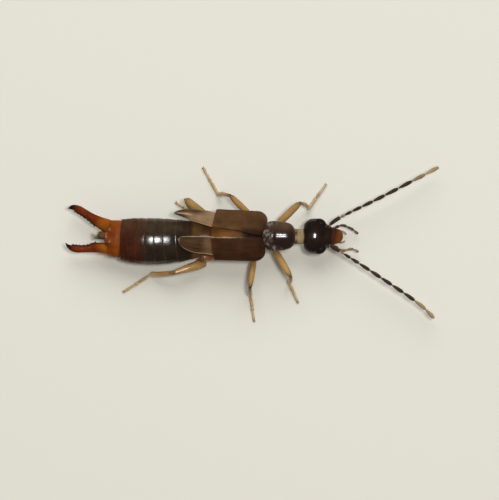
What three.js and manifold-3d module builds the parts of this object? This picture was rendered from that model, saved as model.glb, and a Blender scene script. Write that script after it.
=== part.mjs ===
// A winged earwig, an adult male with open forceps, as a still, life-size model.
// It stands on its six feet, with its left tegmen and left hind wing a little open.
// Millimetres. +X runs to the head, +Y to the animal's left and +Z up from the floor.
import * as THREE from "three";
import { mergeVertices } from "three/addons/utils/BufferGeometryUtils.js";
import Module from "manifold-3d";

const wasm = await Module();
wasm.setup();

// Cuts and least thickness
const cut = 0.1; // parts one node from the next
const fineCut = 0.05; // the same round the eyes and the mouthparts
const slimmest = 0.45; // a limb or wing is at least this thick, except at its tip
const flatness = 0.007; // edges that bend less than this are merged

// Head and neck
const headRear = 2.27;
const headLength = 1.4;
const headWidth = 1.54;
const headHeight = 0.92;
const headZ = 1.0;
const eyeLength = 0.4;
const eyeX = 3.05;
const eyeOut = 0.58;
const eyeTurn = 32; // how far the front end of an eye is turned inward, in degrees
const labrumLength = 0.33;
const labrumWidth = 0.62;
const neckWidth = 0.66;

// Thorax
const pronotumRear = 0.52;
const pronotumLength = 1.45;
const pronotumWidth = 1.34;
const pronotumEdgeZ = 1.24;
const pronotumCrown = 0.3;
const bellyZ = 0.34; // the underside of the thorax over the floor

// Tegmina and hind wings
const tegmenLength = 2.37;
const tegmenWidth = 1.06;
const tegmenEdgeZ = 1.06;
const tegmenCrown = 0.6;
const tegmenSlant = 0.17; // the outer corner of the rear edge lies this far ahead of the inner one
const leftTegmenTurn = 8; // how far the left one is swung out, in degrees
const leftTegmenTilt = 5; // and how far its outer edge is lifted
const tegmenNarrowing = { left: 0.2, right: 0.05 }; // how much narrower each looks at its rear edge
const wingTipThickness = 0.18;

// Abdomen, from the front
const abdomenFront = -1.72;
const tergiteLengths = [0.31, 0.52, 0.52, 0.52, 0.43, 0.39, 0.39, 0.34, 0.24, 0.19];
const abdomenHalfWidth = 0.96;
const abdomenUp = 0.52;
const abdomenDown = 0.5;
const abdomenZ = 0.88;
const tergiteLip = 0.03; // how far each tergite's rear edge stands over the next
const lastTergiteLength = 0.62;

// Limbs
const femurThickness = 0.46;
const footRadius = 0.2;
const footSink = 0.04; // how much of a foot's round underside the floor cuts off
const antennaThickness = slimmest;
const palpThickness = 0.3;

const vector = (x, y, z) => new THREE.Vector3(x, y, z);
const range = (count) => Array.from({ length: count }, (_, i) => i);
const up = vector(0, 0, 1);
const path = (...points) => points.map((p) => vector(...p));

// A smooth line through a few [place, value] pairs.
function through(...pairs) {
  const pair = (i) => pairs[Math.min(Math.max(i, 0), pairs.length - 1)];
  const slope = (i) =>
    (pair(i + 1)[1] - pair(i - 1)[1]) / (pair(i + 1)[0] - pair(i - 1)[0]);
  return (place) => {
    const last = pairs.length - 2;
    const i = Math.min(Math.max(pairs.findIndex(([p]) => p > place) - 1, 0), last);
    const k = place >= pairs[last + 1][0] ? last : i;
    const [p0, v0] = pairs[k];
    const [p1, v1] = pairs[k + 1];
    const t = Math.min(Math.max((place - p0) / (p1 - p0), 0), 1);
    const run = p1 - p0;
    return (
      v0 * (1 + 2 * t) * (1 - t) ** 2 +
      v1 * t * t * (3 - 2 * t) +
      run * slope(k) * t * (1 - t) ** 2 -
      run * slope(k + 1) * t * t * (1 - t)
    );
  };
}

// A closed geometry as a solid, and a solid as a geometry again.
function solid(geometry) {
  const bare = geometry.clone();
  bare.deleteAttribute("normal");
  bare.deleteAttribute("uv");
  const merged = mergeVertices(bare, 1e-5);
  const faces = [];
  const index = merged.index.array;
  for (let i = 0; i < index.length; i += 3) {
    const [a, b, c] = index.slice(i, i + 3);
    if (a !== b && b !== c && c !== a) faces.push(a, b, c);
  }
  const made = (triangles) =>
    new wasm.Manifold(
      new wasm.Mesh({
        numProp: 3,
        vertProperties: merged.attributes.position.array,
        triVerts: new Uint32Array(triangles),
      }),
    );
  const first = made(faces);
  return first.volume() > 0 ? first : made(faces.reverse());
}

function geometryOf(shape) {
  const mesh = shape.simplify(flatness).getMesh();
  const points = new Float32Array(mesh.vertProperties);
  const geometry = new THREE.BufferGeometry();
  geometry.setAttribute("position", new THREE.BufferAttribute(points, 3));
  geometry.setIndex(new THREE.BufferAttribute(new Uint32Array(mesh.triVerts), 1));
  const faceted = geometry.toNonIndexed();
  faceted.computeVertexNormals();
  return faceted;
}

const join = (pieces) => pieces.reduce((whole, piece) => whole.add(piece));

// The largest closed surface of a solid once other solids are cut from it.
function clearOf(shape, ...others) {
  const left = others.reduce((rest, other) => rest.subtract(other), shape);
  const bodies = left.decompose().sort((a, b) => b.volume() - a.volume());
  return bodies[0];
}

function closed(points, faces) {
  const geometry = new THREE.BufferGeometry().setFromPoints(points);
  geometry.setIndex(faces);
  return solid(geometry);
}

// A closed surface through rings of points, with a fan over each end.
function loft(rings) {
  const sides = rings[0].length;
  const points = rings.flat();
  const faces = [];
  for (let r = 0; r + 1 < rings.length; r++)
    for (let s = 0; s < sides; s++) {
      const a = r * sides + s;
      const b = r * sides + ((s + 1) % sides);
      faces.push(a, b, b + sides, a, b + sides, a + sides);
    }
  const middle = (ring) =>
    ring.reduce((sum, p) => sum.add(p), vector(0, 0, 0)).divideScalar(sides);
  const last = (rings.length - 1) * sides;
  points.push(middle(rings[0]), middle(rings[rings.length - 1]));
  for (let s = 0; s < sides; s++) {
    faces.push(points.length - 2, (s + 1) % sides, s);
    faces.push(points.length - 1, last + s, last + ((s + 1) % sides));
  }
  return closed(points, faces);
}

// A body along X. Its measures are functions of x, and grow makes it larger all round.
function bodyAlong({ places, half, rise, drop, y, z, square = 2.3, sides = 20 }, grow = 0) {
  const power = 2 / square;
  const rings = places.map((x, i) => {
    const end = i === 0 ? -grow : i === places.length - 1 ? grow : 0;
    const towards = places[0] < places[places.length - 1] ? 1 : -1;
    return range(sides).map((s) => {
      const angle = (2 * Math.PI * s) / sides;
      const across = Math.sign(Math.cos(angle)) * Math.abs(Math.cos(angle)) ** power;
      const high = Math.sign(Math.sin(angle)) * Math.abs(Math.sin(angle)) ** power;
      const tall = (high > 0 ? rise(x) : drop(x)) + grow;
      return vector(x + end * towards, y(x) + across * (half(x) + grow), z(x) + high * tall);
    });
  });
  return loft(rings);
}

const steps = (from, to, count) => range(count + 1).map((i) => from + ((to - from) * i) / count);
const always = (value) => () => value;

// A curved plate between two faces, each a point for u along the plate and v across it.
function plate(over, under, along, across) {
  const row = (i) => range(across + 1).map((j) => [i / along, j / across]);
  const cells = range(along + 1).flatMap(row);
  const points = [...cells.map(([u, v]) => over(u, v)), ...cells.map(([u, v]) => under(u, v))];
  const n = cells.length;
  const at = (i, j) => i * (across + 1) + j;
  const faces = [];
  const quad = (a, b, c, d) => faces.push(a, b, c, a, c, d);
  for (let i = 0; i < along; i++)
    for (let j = 0; j < across; j++) {
      const [a, b, c, d] = [at(i, j), at(i + 1, j), at(i + 1, j + 1), at(i, j + 1)];
      quad(a, b, c, d);
      quad(n + d, n + c, n + b, n + a);
    }
  for (let i = 0; i < along; i++) {
    quad(at(i + 1, 0), at(i, 0), n + at(i, 0), n + at(i + 1, 0));
    quad(at(i, across), at(i + 1, across), n + at(i + 1, across), n + at(i, across));
  }
  for (let j = 0; j < across; j++) {
    quad(at(0, j), at(0, j + 1), n + at(0, j + 1), n + at(0, j));
    quad(at(along, j + 1), at(along, j), n + at(along, j), n + at(along, j + 1));
  }
  return closed(points, faces);
}

// One length of a limb, turned round the line between two points.
function limb(from, to, radius, sides = 8, rings = 4) {
  const length = from.distanceTo(to);
  const line = range(rings + 1).map((i) => new THREE.Vector2(radius(i / rings), (length * i) / rings));
  const profile = [new THREE.Vector2(0, 0), ...line, new THREE.Vector2(0, length)];
  const geometry = new THREE.LatheGeometry(profile, sides);
  const direction = to.clone().sub(from).normalize();
  geometry.applyQuaternion(new THREE.Quaternion().setFromUnitVectors(vector(0, 1, 0), direction));
  geometry.translate(from.x, from.y, from.z);
  return solid(geometry);
}

// A tube along a curve, from pairs of a share of its length and the radius there.
function tube(points, stations, sides = 8, flat = 1) {
  const curve = new THREE.CatmullRomCurve3(points);
  const side = up.clone().cross(curve.getTangentAt(0));
  const rings = stations.map(([share, radius]) => {
    const along = curve.getTangentAt(share);
    side.addScaledVector(along, -side.dot(along)).normalize();
    const over = along.clone().cross(side);
    const centre = curve.getPointAt(share);
    return range(sides).map((s) => {
      const angle = (2 * Math.PI * s) / sides;
      const point = centre.clone().addScaledVector(side, Math.cos(angle) * radius);
      return point.addScaledVector(over, Math.sin(angle) * radius * flat);
    });
  });
  return loft(rings);
}

function ball(centre, radius, stretch = [1, 1, 1], sides = 8) {
  const geometry = new THREE.SphereGeometry(radius, sides, Math.round(sides * 0.7));
  geometry.scale(...stretch);
  geometry.translate(centre.x, centre.y, centre.z);
  return solid(geometry);
}

// Head: broad and rounded behind, narrow in front of the eyes
const headFront = headRear + headLength;
const alongHead = (...pairs) => through(...pairs.map(([t, v]) => [headRear + t * headLength, v]));
const headBody = {
  places: [0, 0.04, 0.12, 0.25, 0.4, 0.55, 0.68, 0.79, 0.89, 1].map((t) => headRear + t * headLength),
  half: alongHead(
    [0, 0.6],
    [0.04, 0.79],
    [0.14, 0.91],
    [0.3, 0.99],
    [0.42, 1],
    [0.55, 0.93],
    [0.66, 0.79],
    [0.77, 0.67],
    [0.85, 0.59],
    [1, 0.46],
  ),
  rise: alongHead([0, 0.5], [0.06, 0.72], [0.2, 0.92], [0.5, 1], [0.7, 0.86], [0.85, 0.58], [1, 0.38]),
  drop: alongHead([0, 0.45], [0.06, 0.72], [0.2, 0.92], [0.45, 1], [0.8, 0.86], [1, 0.7]),
};
function head(grow = 0) {
  return bodyAlong(
    {
      places: headBody.places,
      half: (x) => (headBody.half(x) * headWidth) / 2,
      rise: (x) => (headBody.rise(x) * headHeight) / 2,
      drop: (x) => (headBody.drop(x) * headHeight) / 2,
      y: always(-0.01),
      z: through([headRear, headZ], [headFront, headZ - 0.14]),
      sides: 24,
    },
    grow,
  );
}

function eye(side, grow = 0) {
  const r = eyeLength / 2;
  const made = ball(vector(0, 0, 0), r + grow, [1.2, 0.9, 0.9], 12);
  return made.rotate([0, 0, -eyeTurn * side]).translate([eyeX, side * eyeOut - 0.01, headZ + 0.06]);
}

// Mouthparts: the labrum over two mandibles, with four palps
function labrum(grow = 0) {
  const rear = headFront + fineCut;
  const front = rear + labrumLength;
  return bodyAlong({
    places: [0, 0.3, 0.6, 0.85, 1].map((t) => rear + t * labrumLength),
    half: through(
      [rear, labrumWidth / 2],
      [rear + 0.5 * labrumLength, labrumWidth * 0.46],
      [front - 0.05, labrumWidth * 0.28],
      [front, labrumWidth * 0.14],
    ),
    rise: through([rear, 0.16], [front, 0.05]),
    drop: through([rear, 0.1], [front, 0.05]),
    y: always(-0.01),
    z: through([rear, headZ - 0.16], [front, headZ - 0.26]),
    sides: 14,
  }, grow);
}

function mandible(side) {
  const line = [
    vector(headFront - 0.1, side * 0.21, headZ - 0.4),
    vector(headFront + 0.18, side * 0.2, headZ - 0.43),
    vector(headFront + 0.34, side * 0.08, headZ - 0.44),
  ];
  return tube(line, [[0, 0.14], [0.4, 0.14], [0.7, 0.11], [1, 0.05]]);
}

// Shares of a palp's length and how thick it is there: three joints and a narrow tip.
const palpShape = [
  [0, 0.8],
  [0.2, 1],
  [0.38, 0.9],
  [0.44, 0.75],
  [0.55, 0.95],
  [0.68, 0.85],
  [0.73, 0.68],
  [0.85, 0.8],
  [0.95, 0.65],
  [1, 0.35],
];
function palp(line) {
  return tube(line, palpShape.map(([share, thick]) => [share, (thick * palpThickness) / 2]), 7);
}

const palps = {
  left: path([3.5, 0.28, 0.5], [4.06, 0.454, 0.52], [4.41, 0.302, 0.42], [4.687, 0.095, 0.3]),
  right: path([3.5, -0.3, 0.5], [4.06, -0.626, 0.52], [4.41, -0.56, 0.42], [4.71, -0.69, 0.3]),
};
function labium() {
  const root = vector(headFront - 0.22, -0.01, 0.32);
  const tip = vector(headFront + 0.12, -0.01, 0.32);
  const feelers = [0.04, -0.17].map((y) => limb(tip, vector(4.1, y, 0.28), (t) => 0.1 - 0.05 * t, 7, 1));
  return join([limb(root, tip, (t) => 0.17 - 0.05 * t, 10, 2), ...feelers]);
}

// Antennae: the lengths of their segments from the scape out, along a line from socket to tip
const antennae = {
  left: {
    line: path([3.42, 0.45, 0.96], [3.93, 0.82, 1.02], [5.83, 1.76, 1.1], [8.165, 2.98, 0.86]),
    segments: [0.56, 0.17, 0.34, 0.43, 0.49, 0.53, 0.6, 0.62, 0.6, 0.6],
  },
  right: {
    line: path(
      [3.42, -0.41, 0.96],
      [3.89, -0.67, 1.02],
      [5.18, -1.49, 1.1],
      [7.2, -2.85, 0.92],
      [7.97, -3.56, 0.8],
    ),
    segments: [0.5, 0.17, 0.33, 0.4, 0.52, 0.53, 0.53, 0.55, 0.55, 0.57, 0.5],
  },
};
// A segment is slim at its base and widest past its middle, like a pear.
const pear = [[0.04, 0.66], [0.35, 0.86], [0.72, 1], [0.95, 0.8]];
function antenna({ line, segments }) {
  const total = segments.reduce((sum, length) => sum + length, 0);
  const stations = [];
  let run = 0;
  for (const length of segments) {
    for (const [t, wide] of pear) stations.push([(run + t * length) / total, (wide * antennaThickness) / 2]);
    run += length;
  }
  stations.push([1, antennaThickness / 4]);
  return tube(line, stations, 8);
}

// Neck and thorax
function neck() {
  return bodyAlong({
    places: steps(1.5, headRear - cut, 3),
    half: through([1.5, neckWidth * 0.46], [1.9, neckWidth * 0.5], [headRear, neckWidth * 0.5]),
    rise: always(0.2),
    drop: always(0.26),
    y: always(-0.02),
    z: always(headZ - 0.06),
    sides: 14,
  });
}

function pronotum(grow = 0) {
  const front = pronotumRear + pronotumLength;
  const alongIt = (...pairs) => through(...pairs.map(([t, v]) => [pronotumRear + t * pronotumLength, v]));
  const outline = alongIt(
    [0, 0.24],
    [0.05, 0.55],
    [0.15, 0.88],
    [0.3, 1],
    [0.45, 1],
    [0.62, 0.95],
    [0.85, 0.82],
    [0.94, 0.62],
    [1, 0.32],
  );
  const crown = alongIt([0, 0.35], [0.2, 0.8], [0.5, 1], [0.8, 0.95], [1, 0.4]);
  return bodyAlong(
    {
      places: [0, 0.05, 0.14, 0.3, 0.5, 0.68, 0.84, 0.94, 1].map((t) => pronotumRear + t * pronotumLength),
      half: (x) => (outline(x) * pronotumWidth) / 2,
      rise: (x) => crown(x) * pronotumCrown,
      drop: always(0.11),
      y: always(0),
      z: through([pronotumRear, pronotumEdgeZ], [front, pronotumEdgeZ - 0.02]),
      sides: 24,
    },
    grow,
  );
}

function prothorax(grow = 0) {
  return bodyAlong(
    {
      places: steps(0.62, 1.5 - cut, 4),
      half: through([0.62, 0.4], [1, 0.46], [1.4, 0.36]),
      rise: always(0.36),
      drop: through([0.62, 0.32], [1, 0.36], [1.4, 0.28]),
      y: always(0),
      z: always(0.76),
      sides: 16,
    },
    grow,
  );
}

function thorax(grow = 0) {
  const halfUp = 0.42;
  return bodyAlong(
    {
      places: steps(abdomenFront + cut, 0.62 - cut, 6),
      half: through([-1.62, 0.92], [-0.9, 1], [0, 0.94], [0.52, 0.62], [1, 0.6]),
      rise: through([-1.62, halfUp], [0.52, halfUp * 0.85]),
      drop: through([-1.62, 0.36], [-0.6, 0.42], [0.52, 0.3]),
      y: through([-1.62, -0.06], [0.5, 0]),
      z: always(bellyZ + 0.42),
      sides: 20,
    },
    grow,
  );
}

// Tegmina: short leathery wing cases that meet along the back and bend down at the side
const tegmenRear = -1.68;
function tegmen(side, grow = 0) {
  const front = tegmenRear + tegmenLength;
  const corner = 0.5; // how far the front outer corner is rounded off
  const narrowing = side > 0 ? tegmenNarrowing.left : tegmenNarrowing.right;
  const face = (inset) => (u, v) => {
    const rear = tegmenRear + tegmenSlant * v - grow;
    const x = rear + (front + grow - rear) * u;
    const past = Math.min(Math.max(0, (x - front + corner) / corner), 1);
    const width = tegmenWidth * (1 - narrowing * (1 - u)) - corner * (1 - Math.sqrt(1 - past ** 2));
    const crown = tegmenCrown - 0.2 * past ** 2;
    const angle = (v * Math.PI) / 2;
    const across = Math.sin(angle) ** 0.8 * (width + grow - inset) - grow;
    const high = Math.cos(angle) ** 0.55 * (crown + grow - inset) - grow;
    return vector(x, side * across, tegmenEdgeZ + high);
  };
  const made = plate(face(-grow), face(slimmest + grow), 9, 8);
  if (side < 0) return made.translate([0, -0.04, 0]);
  return made
    .translate([-front, 0, -tegmenEdgeZ])
    .rotate([-leftTegmenTilt, 0, -leftTegmenTurn])
    .translate([front, 0, tegmenEdgeZ]);
}

// Hind wings: the folded tips that show behind the tegmina
const wings = {
  right: {
    tip: -3.13,
    root: -1.7,
    inner: through([0, -0.1], [0.15, 0], [1, 0]),
    outer: through([0, -0.2], [0.06, -0.38], [0.18, -0.56], [0.45, -0.74], [0.75, -0.8], [1, -0.86]),
    rootZ: 1.58,
    tipZ: 1.5,
  },
  left: {
    tip: -3.28,
    root: -1.6,
    inner: through([0, 0.93], [0.06, 0.88], [0.3, 0.77], [0.6, 0.58], [1, 0.36]),
    outer: through([0, 1], [0.06, 1.08], [0.3, 1.16], [0.6, 1.14], [1, 1.08]),
    rootZ: 1.56,
    tipZ: 1.42,
  },
};
const wingCells = 9; // across a wing
const veins = [2, 4, 6]; // the rows of cells that stand up as ridges
const veinHeight = 0.03;
function wing({ tip, root, inner, outer, rootZ, tipZ }, grow = 0) {
  const thickness = (u) => Math.min(slimmest, wingTipThickness + 0.6 * u);
  const face = (lowering) => (u, v) => {
    const y = (t) => inner(u) + (outer(u) - inner(u)) * t;
    const widening = Math.sign(y(1) - y(0)) * grow * (2 * v - 1);
    const vein = veins.includes(Math.round(v * wingCells)) ? veinHeight : 0;
    const crown = 0.07 * Math.sin(Math.PI * v) - 0.12 * v * u;
    const x = tip - grow + (root - tip + 2 * grow) * u;
    return vector(x, y(v) + widening, tipZ + (rootZ - tipZ) * u + crown + vein - lowering(u));
  };
  return plate(face(() => -grow), face((u) => thickness(u) + grow), 8, wingCells);
}

// Abdomen: tergites like overlapping rings, each with a raised rear edge
const abdomenRear = abdomenFront - tergiteLengths.reduce((sum, length) => sum + length, 0);
const alongAbdomen = (rear, middle, front) => through([abdomenRear, rear], ...middle, [abdomenFront, front]);
const abdomenMiddle = alongAbdomen(-0.15, [[-4.5, -0.22], [-3.2, -0.21], [-2.2, -0.14]], -0.06);
const abdomenHalf = alongAbdomen(0.87, [[-5, 0.97], [-4.1, 1], [-3.2, 0.93], [-2.5, 0.83]], 0.74);
const abdomenRise = alongAbdomen(0.93, [[-4.4, 1], [-3.5, 0.88], [-2.9, 0.68], [-2.2, 0.5]], 0.46);
const abdomenDrop = alongAbdomen(0.84, [[-4.2, 1], [-3, 0.94]], 0.8);
function abdomen(grow = 0) {
  const places = [];
  const swells = new Map();
  let x = abdomenFront;
  for (const length of tergiteLengths) {
    for (const [t, lip] of [[0, 0], [0.55, 0.5], [0.93, 1]]) {
      places.push(x - t * length);
      swells.set(x - t * length, lip * tergiteLip);
    }
    x -= length;
  }
  places.push(abdomenRear);
  const swell = (place) => swells.get(place) ?? 0;
  return bodyAlong(
    {
      places,
      half: (place) => abdomenHalf(place) * abdomenHalfWidth + swell(place),
      rise: (place) => abdomenRise(place) * abdomenUp + swell(place),
      drop: (place) => abdomenDrop(place) * abdomenDown + swell(place) * 0.6,
      y: abdomenMiddle,
      z: always(abdomenZ),
      square: 2.4,
      sides: 26,
    },
    grow,
  );
}

// Last tergite: a broad amber ring with low bumps over the roots of the forceps
const lastFront = abdomenRear - cut;
const lastRear = lastFront - lastTergiteLength;
function lastTergite(grow = 0) {
  const body = bodyAlong(
    {
      places: [0, 0.15, 0.5, 0.8, 1].map((t) => lastFront - t * lastTergiteLength),
      half: through([lastRear, 0.72], [lastFront - 0.3, 0.78], [lastFront, 0.82]),
      rise: through([lastRear, 0.3], [lastFront - 0.2, 0.44], [lastFront, 0.47]),
      drop: through([lastRear, 0.3], [lastFront, 0.4]),
      y: through([lastRear, -0.06], [lastFront, -0.14]),
      z: always(abdomenZ),
      square: 2.5,
      sides: 24,
    },
    grow,
  );
  const bump = (y) => ball(vector(lastRear + 0.14, y, abdomenZ + 0.26), 0.13 + grow, [1, 1, 0.85], 8);
  const bumps = [-0.25, 0.29].map(bump);
  return join([body, ...bumps]);
}

// Forceps: two tapered horns that curve in at the tip, with fine teeth inside
const forceps = {
  left: {
    line: path(
      [-6.24, 0.46, 0.87],
      [-6.6, 0.655, 0.88],
      [-6.95, 0.875, 0.87],
      [-7.3, 1.095, 0.85],
      [-7.62, 1.23, 0.84],
      [-7.84, 1.17, 0.84],
    ),
    teeth: -1,
  },
  right: {
    line: path(
      [-6.24, -0.55, 0.87],
      [-6.6, -0.51, 0.88],
      [-6.95, -0.55, 0.87],
      [-7.35, -0.575, 0.85],
      [-7.72, -0.52, 0.84],
      [-7.98, -0.3, 0.84],
    ),
    teeth: 1,
  },
};
const forcepsHalf = through([0, 0.28], [0.15, 0.255], [0.35, 0.225], [0.75, 0.2], [0.9, 0.12], [1, 0.03]);
function forcep({ line, teeth }) {
  const horn = tube(line, steps(0, 1, 12).map((t) => [t, forcepsHalf(t)]), 12, 0.9);
  const curve = new THREE.CatmullRomCurve3(line);
  const row = steps(0.2, 0.78, 7).map((t) => {
    const foot = curve.getPointAt(t);
    const inward = curve.getTangentAt(t).cross(up).normalize();
    const tip = foot.clone().addScaledVector(inward, Math.sign(inward.y) * teeth * (forcepsHalf(t) + 0.04));
    return limb(foot, tip, (k) => 0.08 - 0.06 * k, 6, 1);
  });
  return join([horn, ...row]);
}

// Pygidium: a small lobed plate between the forceps
function pygidium() {
  const root = vector(lastRear - 0.05, -0.02, 0.86);
  const lobe = vector(lastRear - 0.26, 0, 0.86);
  const tip = vector(-6.76, -0.03, 0.85);
  const stalk = limb(root, lobe, always(0.17), 10, 2);
  const point = limb(lobe, tip, (t) => 0.13 - 0.08 * t, 8, 2);
  return join([stalk, ball(lobe, 0.17, [1, 1, 0.9], 10), point]);
}

// Legs, from the hip through the knee and ankle to the toe
const legs = {
  front_left: [[0.98, 0.3, 0.66], [2.16, 1.447, 1.2], [2.55, 1.21, 0.26], [3.28, 2.225]],
  front_right: [[0.88, -0.3, 0.66], [1.75, -1.77, 1.15], [1.69, -2.03, 0.26], [2.07, -2.87]],
  middle_left: [[0.2, 0.7, 0.55], [-0.864, 1.77, 1.15], [-1.38, 1.81, 0.26], [-2.03, 2.94]],
  middle_right: [[0.22, -0.66, 0.55], [0, -2.25, 1.15], [0.02, -2.59, 0.26], [0.17, -3.67]],
  hind_left: [[-1.6, 0.62, 0.55], [-2.81, 1.6, 1.1], [-2.46, 0.95, 0.26], [-3.26, 1.47]],
  hind_right: [[-1.8, -1.1, 0.6], [-3.175, -1.577, 0.95], [-4.28, -1.66, 0.28], [-5.49, -2.42]],
};
const femurShape = through([0, 0.8], [0.35, 1], [0.7, 0.96], [1, 0.72]);
const tibiaShape = through([0, 0.8], [0.2, 0.92], [0.8, 1], [1, 0.85]);
const tarsusShape = through(
  [0, 0.85],
  [0.4, 1],
  [0.47, 0.8],
  [0.6, 0.9],
  [0.65, 0.75],
  [0.9, 0.85],
  [1, 0.4],
);
const floorBlock = solid(new THREE.BoxGeometry(40, 40, 2).translate(0, 0, -1));
function leg([hip, knee, ankle, toe]) {
  const [hipPoint, kneePoint, anklePoint] = path(hip, knee, ankle);
  const toePoint = vector(...toe, footRadius * 0.8 - footSink);
  const thick = slimmest / 2;
  const lengths = [
    limb(hipPoint, kneePoint, (t) => (femurThickness / 2) * femurShape(t), 8, 3),
    limb(kneePoint, anklePoint, (t) => thick * tibiaShape(t), 8, 2),
    limb(anklePoint, toePoint, (t) => footRadius * tarsusShape(t), 8, 6),
  ];
  const joints = [ball(kneePoint, thick * 0.92), ball(anklePoint, thick * 0.92)];
  return join([...lengths, ...joints]).subtract(floorBlock);
}

// Every node is cut clear of what it grows from or lies against.
const grown = {
  head: head(cut),
  pronotum: pronotum(cut),
  prothorax: prothorax(cut),
  thorax: thorax(cut),
  tegmina: join([tegmen(1, cut), tegmen(-1, cut)]),
  wings: join([wing(wings.left, cut), wing(wings.right, cut)]),
  abdomen: abdomen(cut),
  lastTergite: lastTergite(cut),
};
const socketed = clearOf(head(), eye(1, fineCut), eye(-1, fineCut));
const behindMouth = head(fineCut);
const fromTrunk = (shape) =>
  clearOf(shape, grown.prothorax, grown.thorax, grown.pronotum, grown.tegmina, grown.wings, grown.abdomen);

// Colours and finish
const finish = (colour, roughness) =>
  new THREE.MeshStandardMaterial({ color: colour, roughness, metalness: 0 });
const finishes = {
  headCuticle: finish(0x1c110d, 0.2),
  eye: finish(0x0c0908, 0.25),
  mouth: finish(0x7a3512, 0.35),
  palp: finish(0x6e5236, 0.45),
  antenna: finish(0x2e1f18, 0.5),
  membrane: finish(0xa08258, 0.6),
  pronotum: finish(0x36221a, 0.3),
  sternum: finish(0x8a6435, 0.45),
  tegmen: finish(0x4a2c18, 0.45),
  wing: finish(0x58402a, 0.45),
  abdomen: finish(0x2a1a13, 0.3),
  lastTergite: finish(0x7e3a12, 0.35),
  forceps: finish(0x702a0e, 0.35),
  leg: finish(0xb08a50, 0.4),
};

const nodes = {
  head: [socketed, finishes.headCuticle],
  eye_left: [eye(1), finishes.eye],
  eye_right: [eye(-1), finishes.eye],
  labrum: [labrum(), finishes.mouth],
  mandible_left: [clearOf(mandible(1), behindMouth, labrum(fineCut)), finishes.mouth],
  mandible_right: [clearOf(mandible(-1), behindMouth, labrum(fineCut)), finishes.mouth],
  labium: [clearOf(labium(), behindMouth), finishes.palp],
  palp_left: [clearOf(palp(palps.left), behindMouth), finishes.palp],
  palp_right: [clearOf(palp(palps.right), behindMouth), finishes.palp],
  antenna_left: [clearOf(antenna(antennae.left), grown.head), finishes.antenna],
  antenna_right: [clearOf(antenna(antennae.right), grown.head), finishes.antenna],
  neck: [clearOf(neck(), grown.head, grown.pronotum, grown.prothorax), finishes.membrane],
  pronotum: [pronotum(), finishes.pronotum],
  prothorax: [clearOf(prothorax(), grown.pronotum), finishes.sternum],
  thorax: [
    clearOf(thorax(), grown.tegmina, grown.pronotum, grown.prothorax, grown.abdomen, grown.wings),
    finishes.sternum,
  ],
  tegmen_left: [clearOf(tegmen(1), grown.pronotum, tegmen(-1, cut)), finishes.tegmen],
  tegmen_right: [clearOf(tegmen(-1), grown.pronotum), finishes.tegmen],
  wing_left: [
    clearOf(wing(wings.left), grown.tegmina, grown.abdomen, wing(wings.right, cut)),
    finishes.wing,
  ],
  wing_right: [clearOf(wing(wings.right), grown.tegmina, grown.abdomen), finishes.wing],
  abdomen: [abdomen(), finishes.abdomen],
  last_tergite: [lastTergite(), finishes.lastTergite],
  pygidium: [clearOf(pygidium(), grown.lastTergite), finishes.lastTergite],
};
for (const side of ["left", "right"])
  nodes[`forceps_${side}`] = [clearOf(forcep(forceps[side]), grown.lastTergite), finishes.forceps];
for (const [name, pose] of Object.entries(legs)) nodes[`leg_${name}`] = [fromTrunk(leg(pose)), finishes.leg];

const earwig = new THREE.Group();
for (const [name, [shape, material]] of Object.entries(nodes)) {
  const mesh = new THREE.Mesh(geometryOf(shape), material);
  mesh.name = name;
  earwig.add(mesh);
}

// The origin is on the floor, at the middle of the whole model's box.
const box = new THREE.Box3().setFromObject(earwig);
const middle = box.getCenter(vector(0, 0, 0));
earwig.position.set(-middle.x, -middle.y, -box.min.z);

export default earwig;
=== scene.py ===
import random
from math import atan2, copysign, cos, exp, hypot, pi, radians, sin, sqrt

import bmesh
import bpy
from mathutils import Matrix, Vector, noise


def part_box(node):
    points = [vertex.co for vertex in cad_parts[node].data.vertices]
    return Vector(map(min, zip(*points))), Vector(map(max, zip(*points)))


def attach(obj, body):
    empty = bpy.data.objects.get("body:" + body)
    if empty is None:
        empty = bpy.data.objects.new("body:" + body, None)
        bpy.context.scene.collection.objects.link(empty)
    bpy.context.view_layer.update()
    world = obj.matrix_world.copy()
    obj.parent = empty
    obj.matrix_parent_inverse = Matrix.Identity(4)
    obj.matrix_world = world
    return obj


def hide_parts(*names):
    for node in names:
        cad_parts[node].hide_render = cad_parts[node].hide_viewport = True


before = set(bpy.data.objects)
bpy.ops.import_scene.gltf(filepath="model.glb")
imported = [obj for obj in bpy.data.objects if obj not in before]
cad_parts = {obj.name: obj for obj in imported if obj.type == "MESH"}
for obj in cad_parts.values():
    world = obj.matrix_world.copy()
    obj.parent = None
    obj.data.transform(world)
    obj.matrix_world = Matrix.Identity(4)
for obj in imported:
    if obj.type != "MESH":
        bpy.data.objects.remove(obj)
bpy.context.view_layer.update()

random.seed(12)

# Shapes are worked out in millimetres in a drawing frame, where the abdomen starts at x = -1.72
# and the pronotum lies evenly about y = 0.
mm = 0.001
abdomen_front = -1.72
pronotum_low, pronotum_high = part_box("pronotum")
origin = Vector((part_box("abdomen")[1].x - abdomen_front * mm, (pronotum_low.y + pronotum_high.y) / 2, 0))
up, backward = Vector((0, 0, 1)), Vector((-1, 0, 0))
both_sides = ((1, "left"), (-1, "right"))


def clamp(t):
    return min(max(t, 0.0), 1.0)


def smooth(start, end, t):
    """0 before start, 1 after end and a soft step between them."""
    t = clamp((t - start) / (end - start))
    return t * t * (3 - 2 * t)


def mix(a, b, t):
    return tuple(p + (q - p) * t for p, q in zip(a, b))


def layered(tone, *layers):
    """A tone with others laid over it, each by its share."""
    for over, share in layers:
        tone = mix(tone, over, share)
    return tone


def measure(curve, x):
    return curve(x) if callable(curve) else curve


def bell(t, middle, width):
    return exp(-(((t - middle) / width) ** 2))


def cloud(x, y, z):
    """Smooth noise between about -1 and 1."""
    return noise.noise(Vector((x, y, z)))


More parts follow.
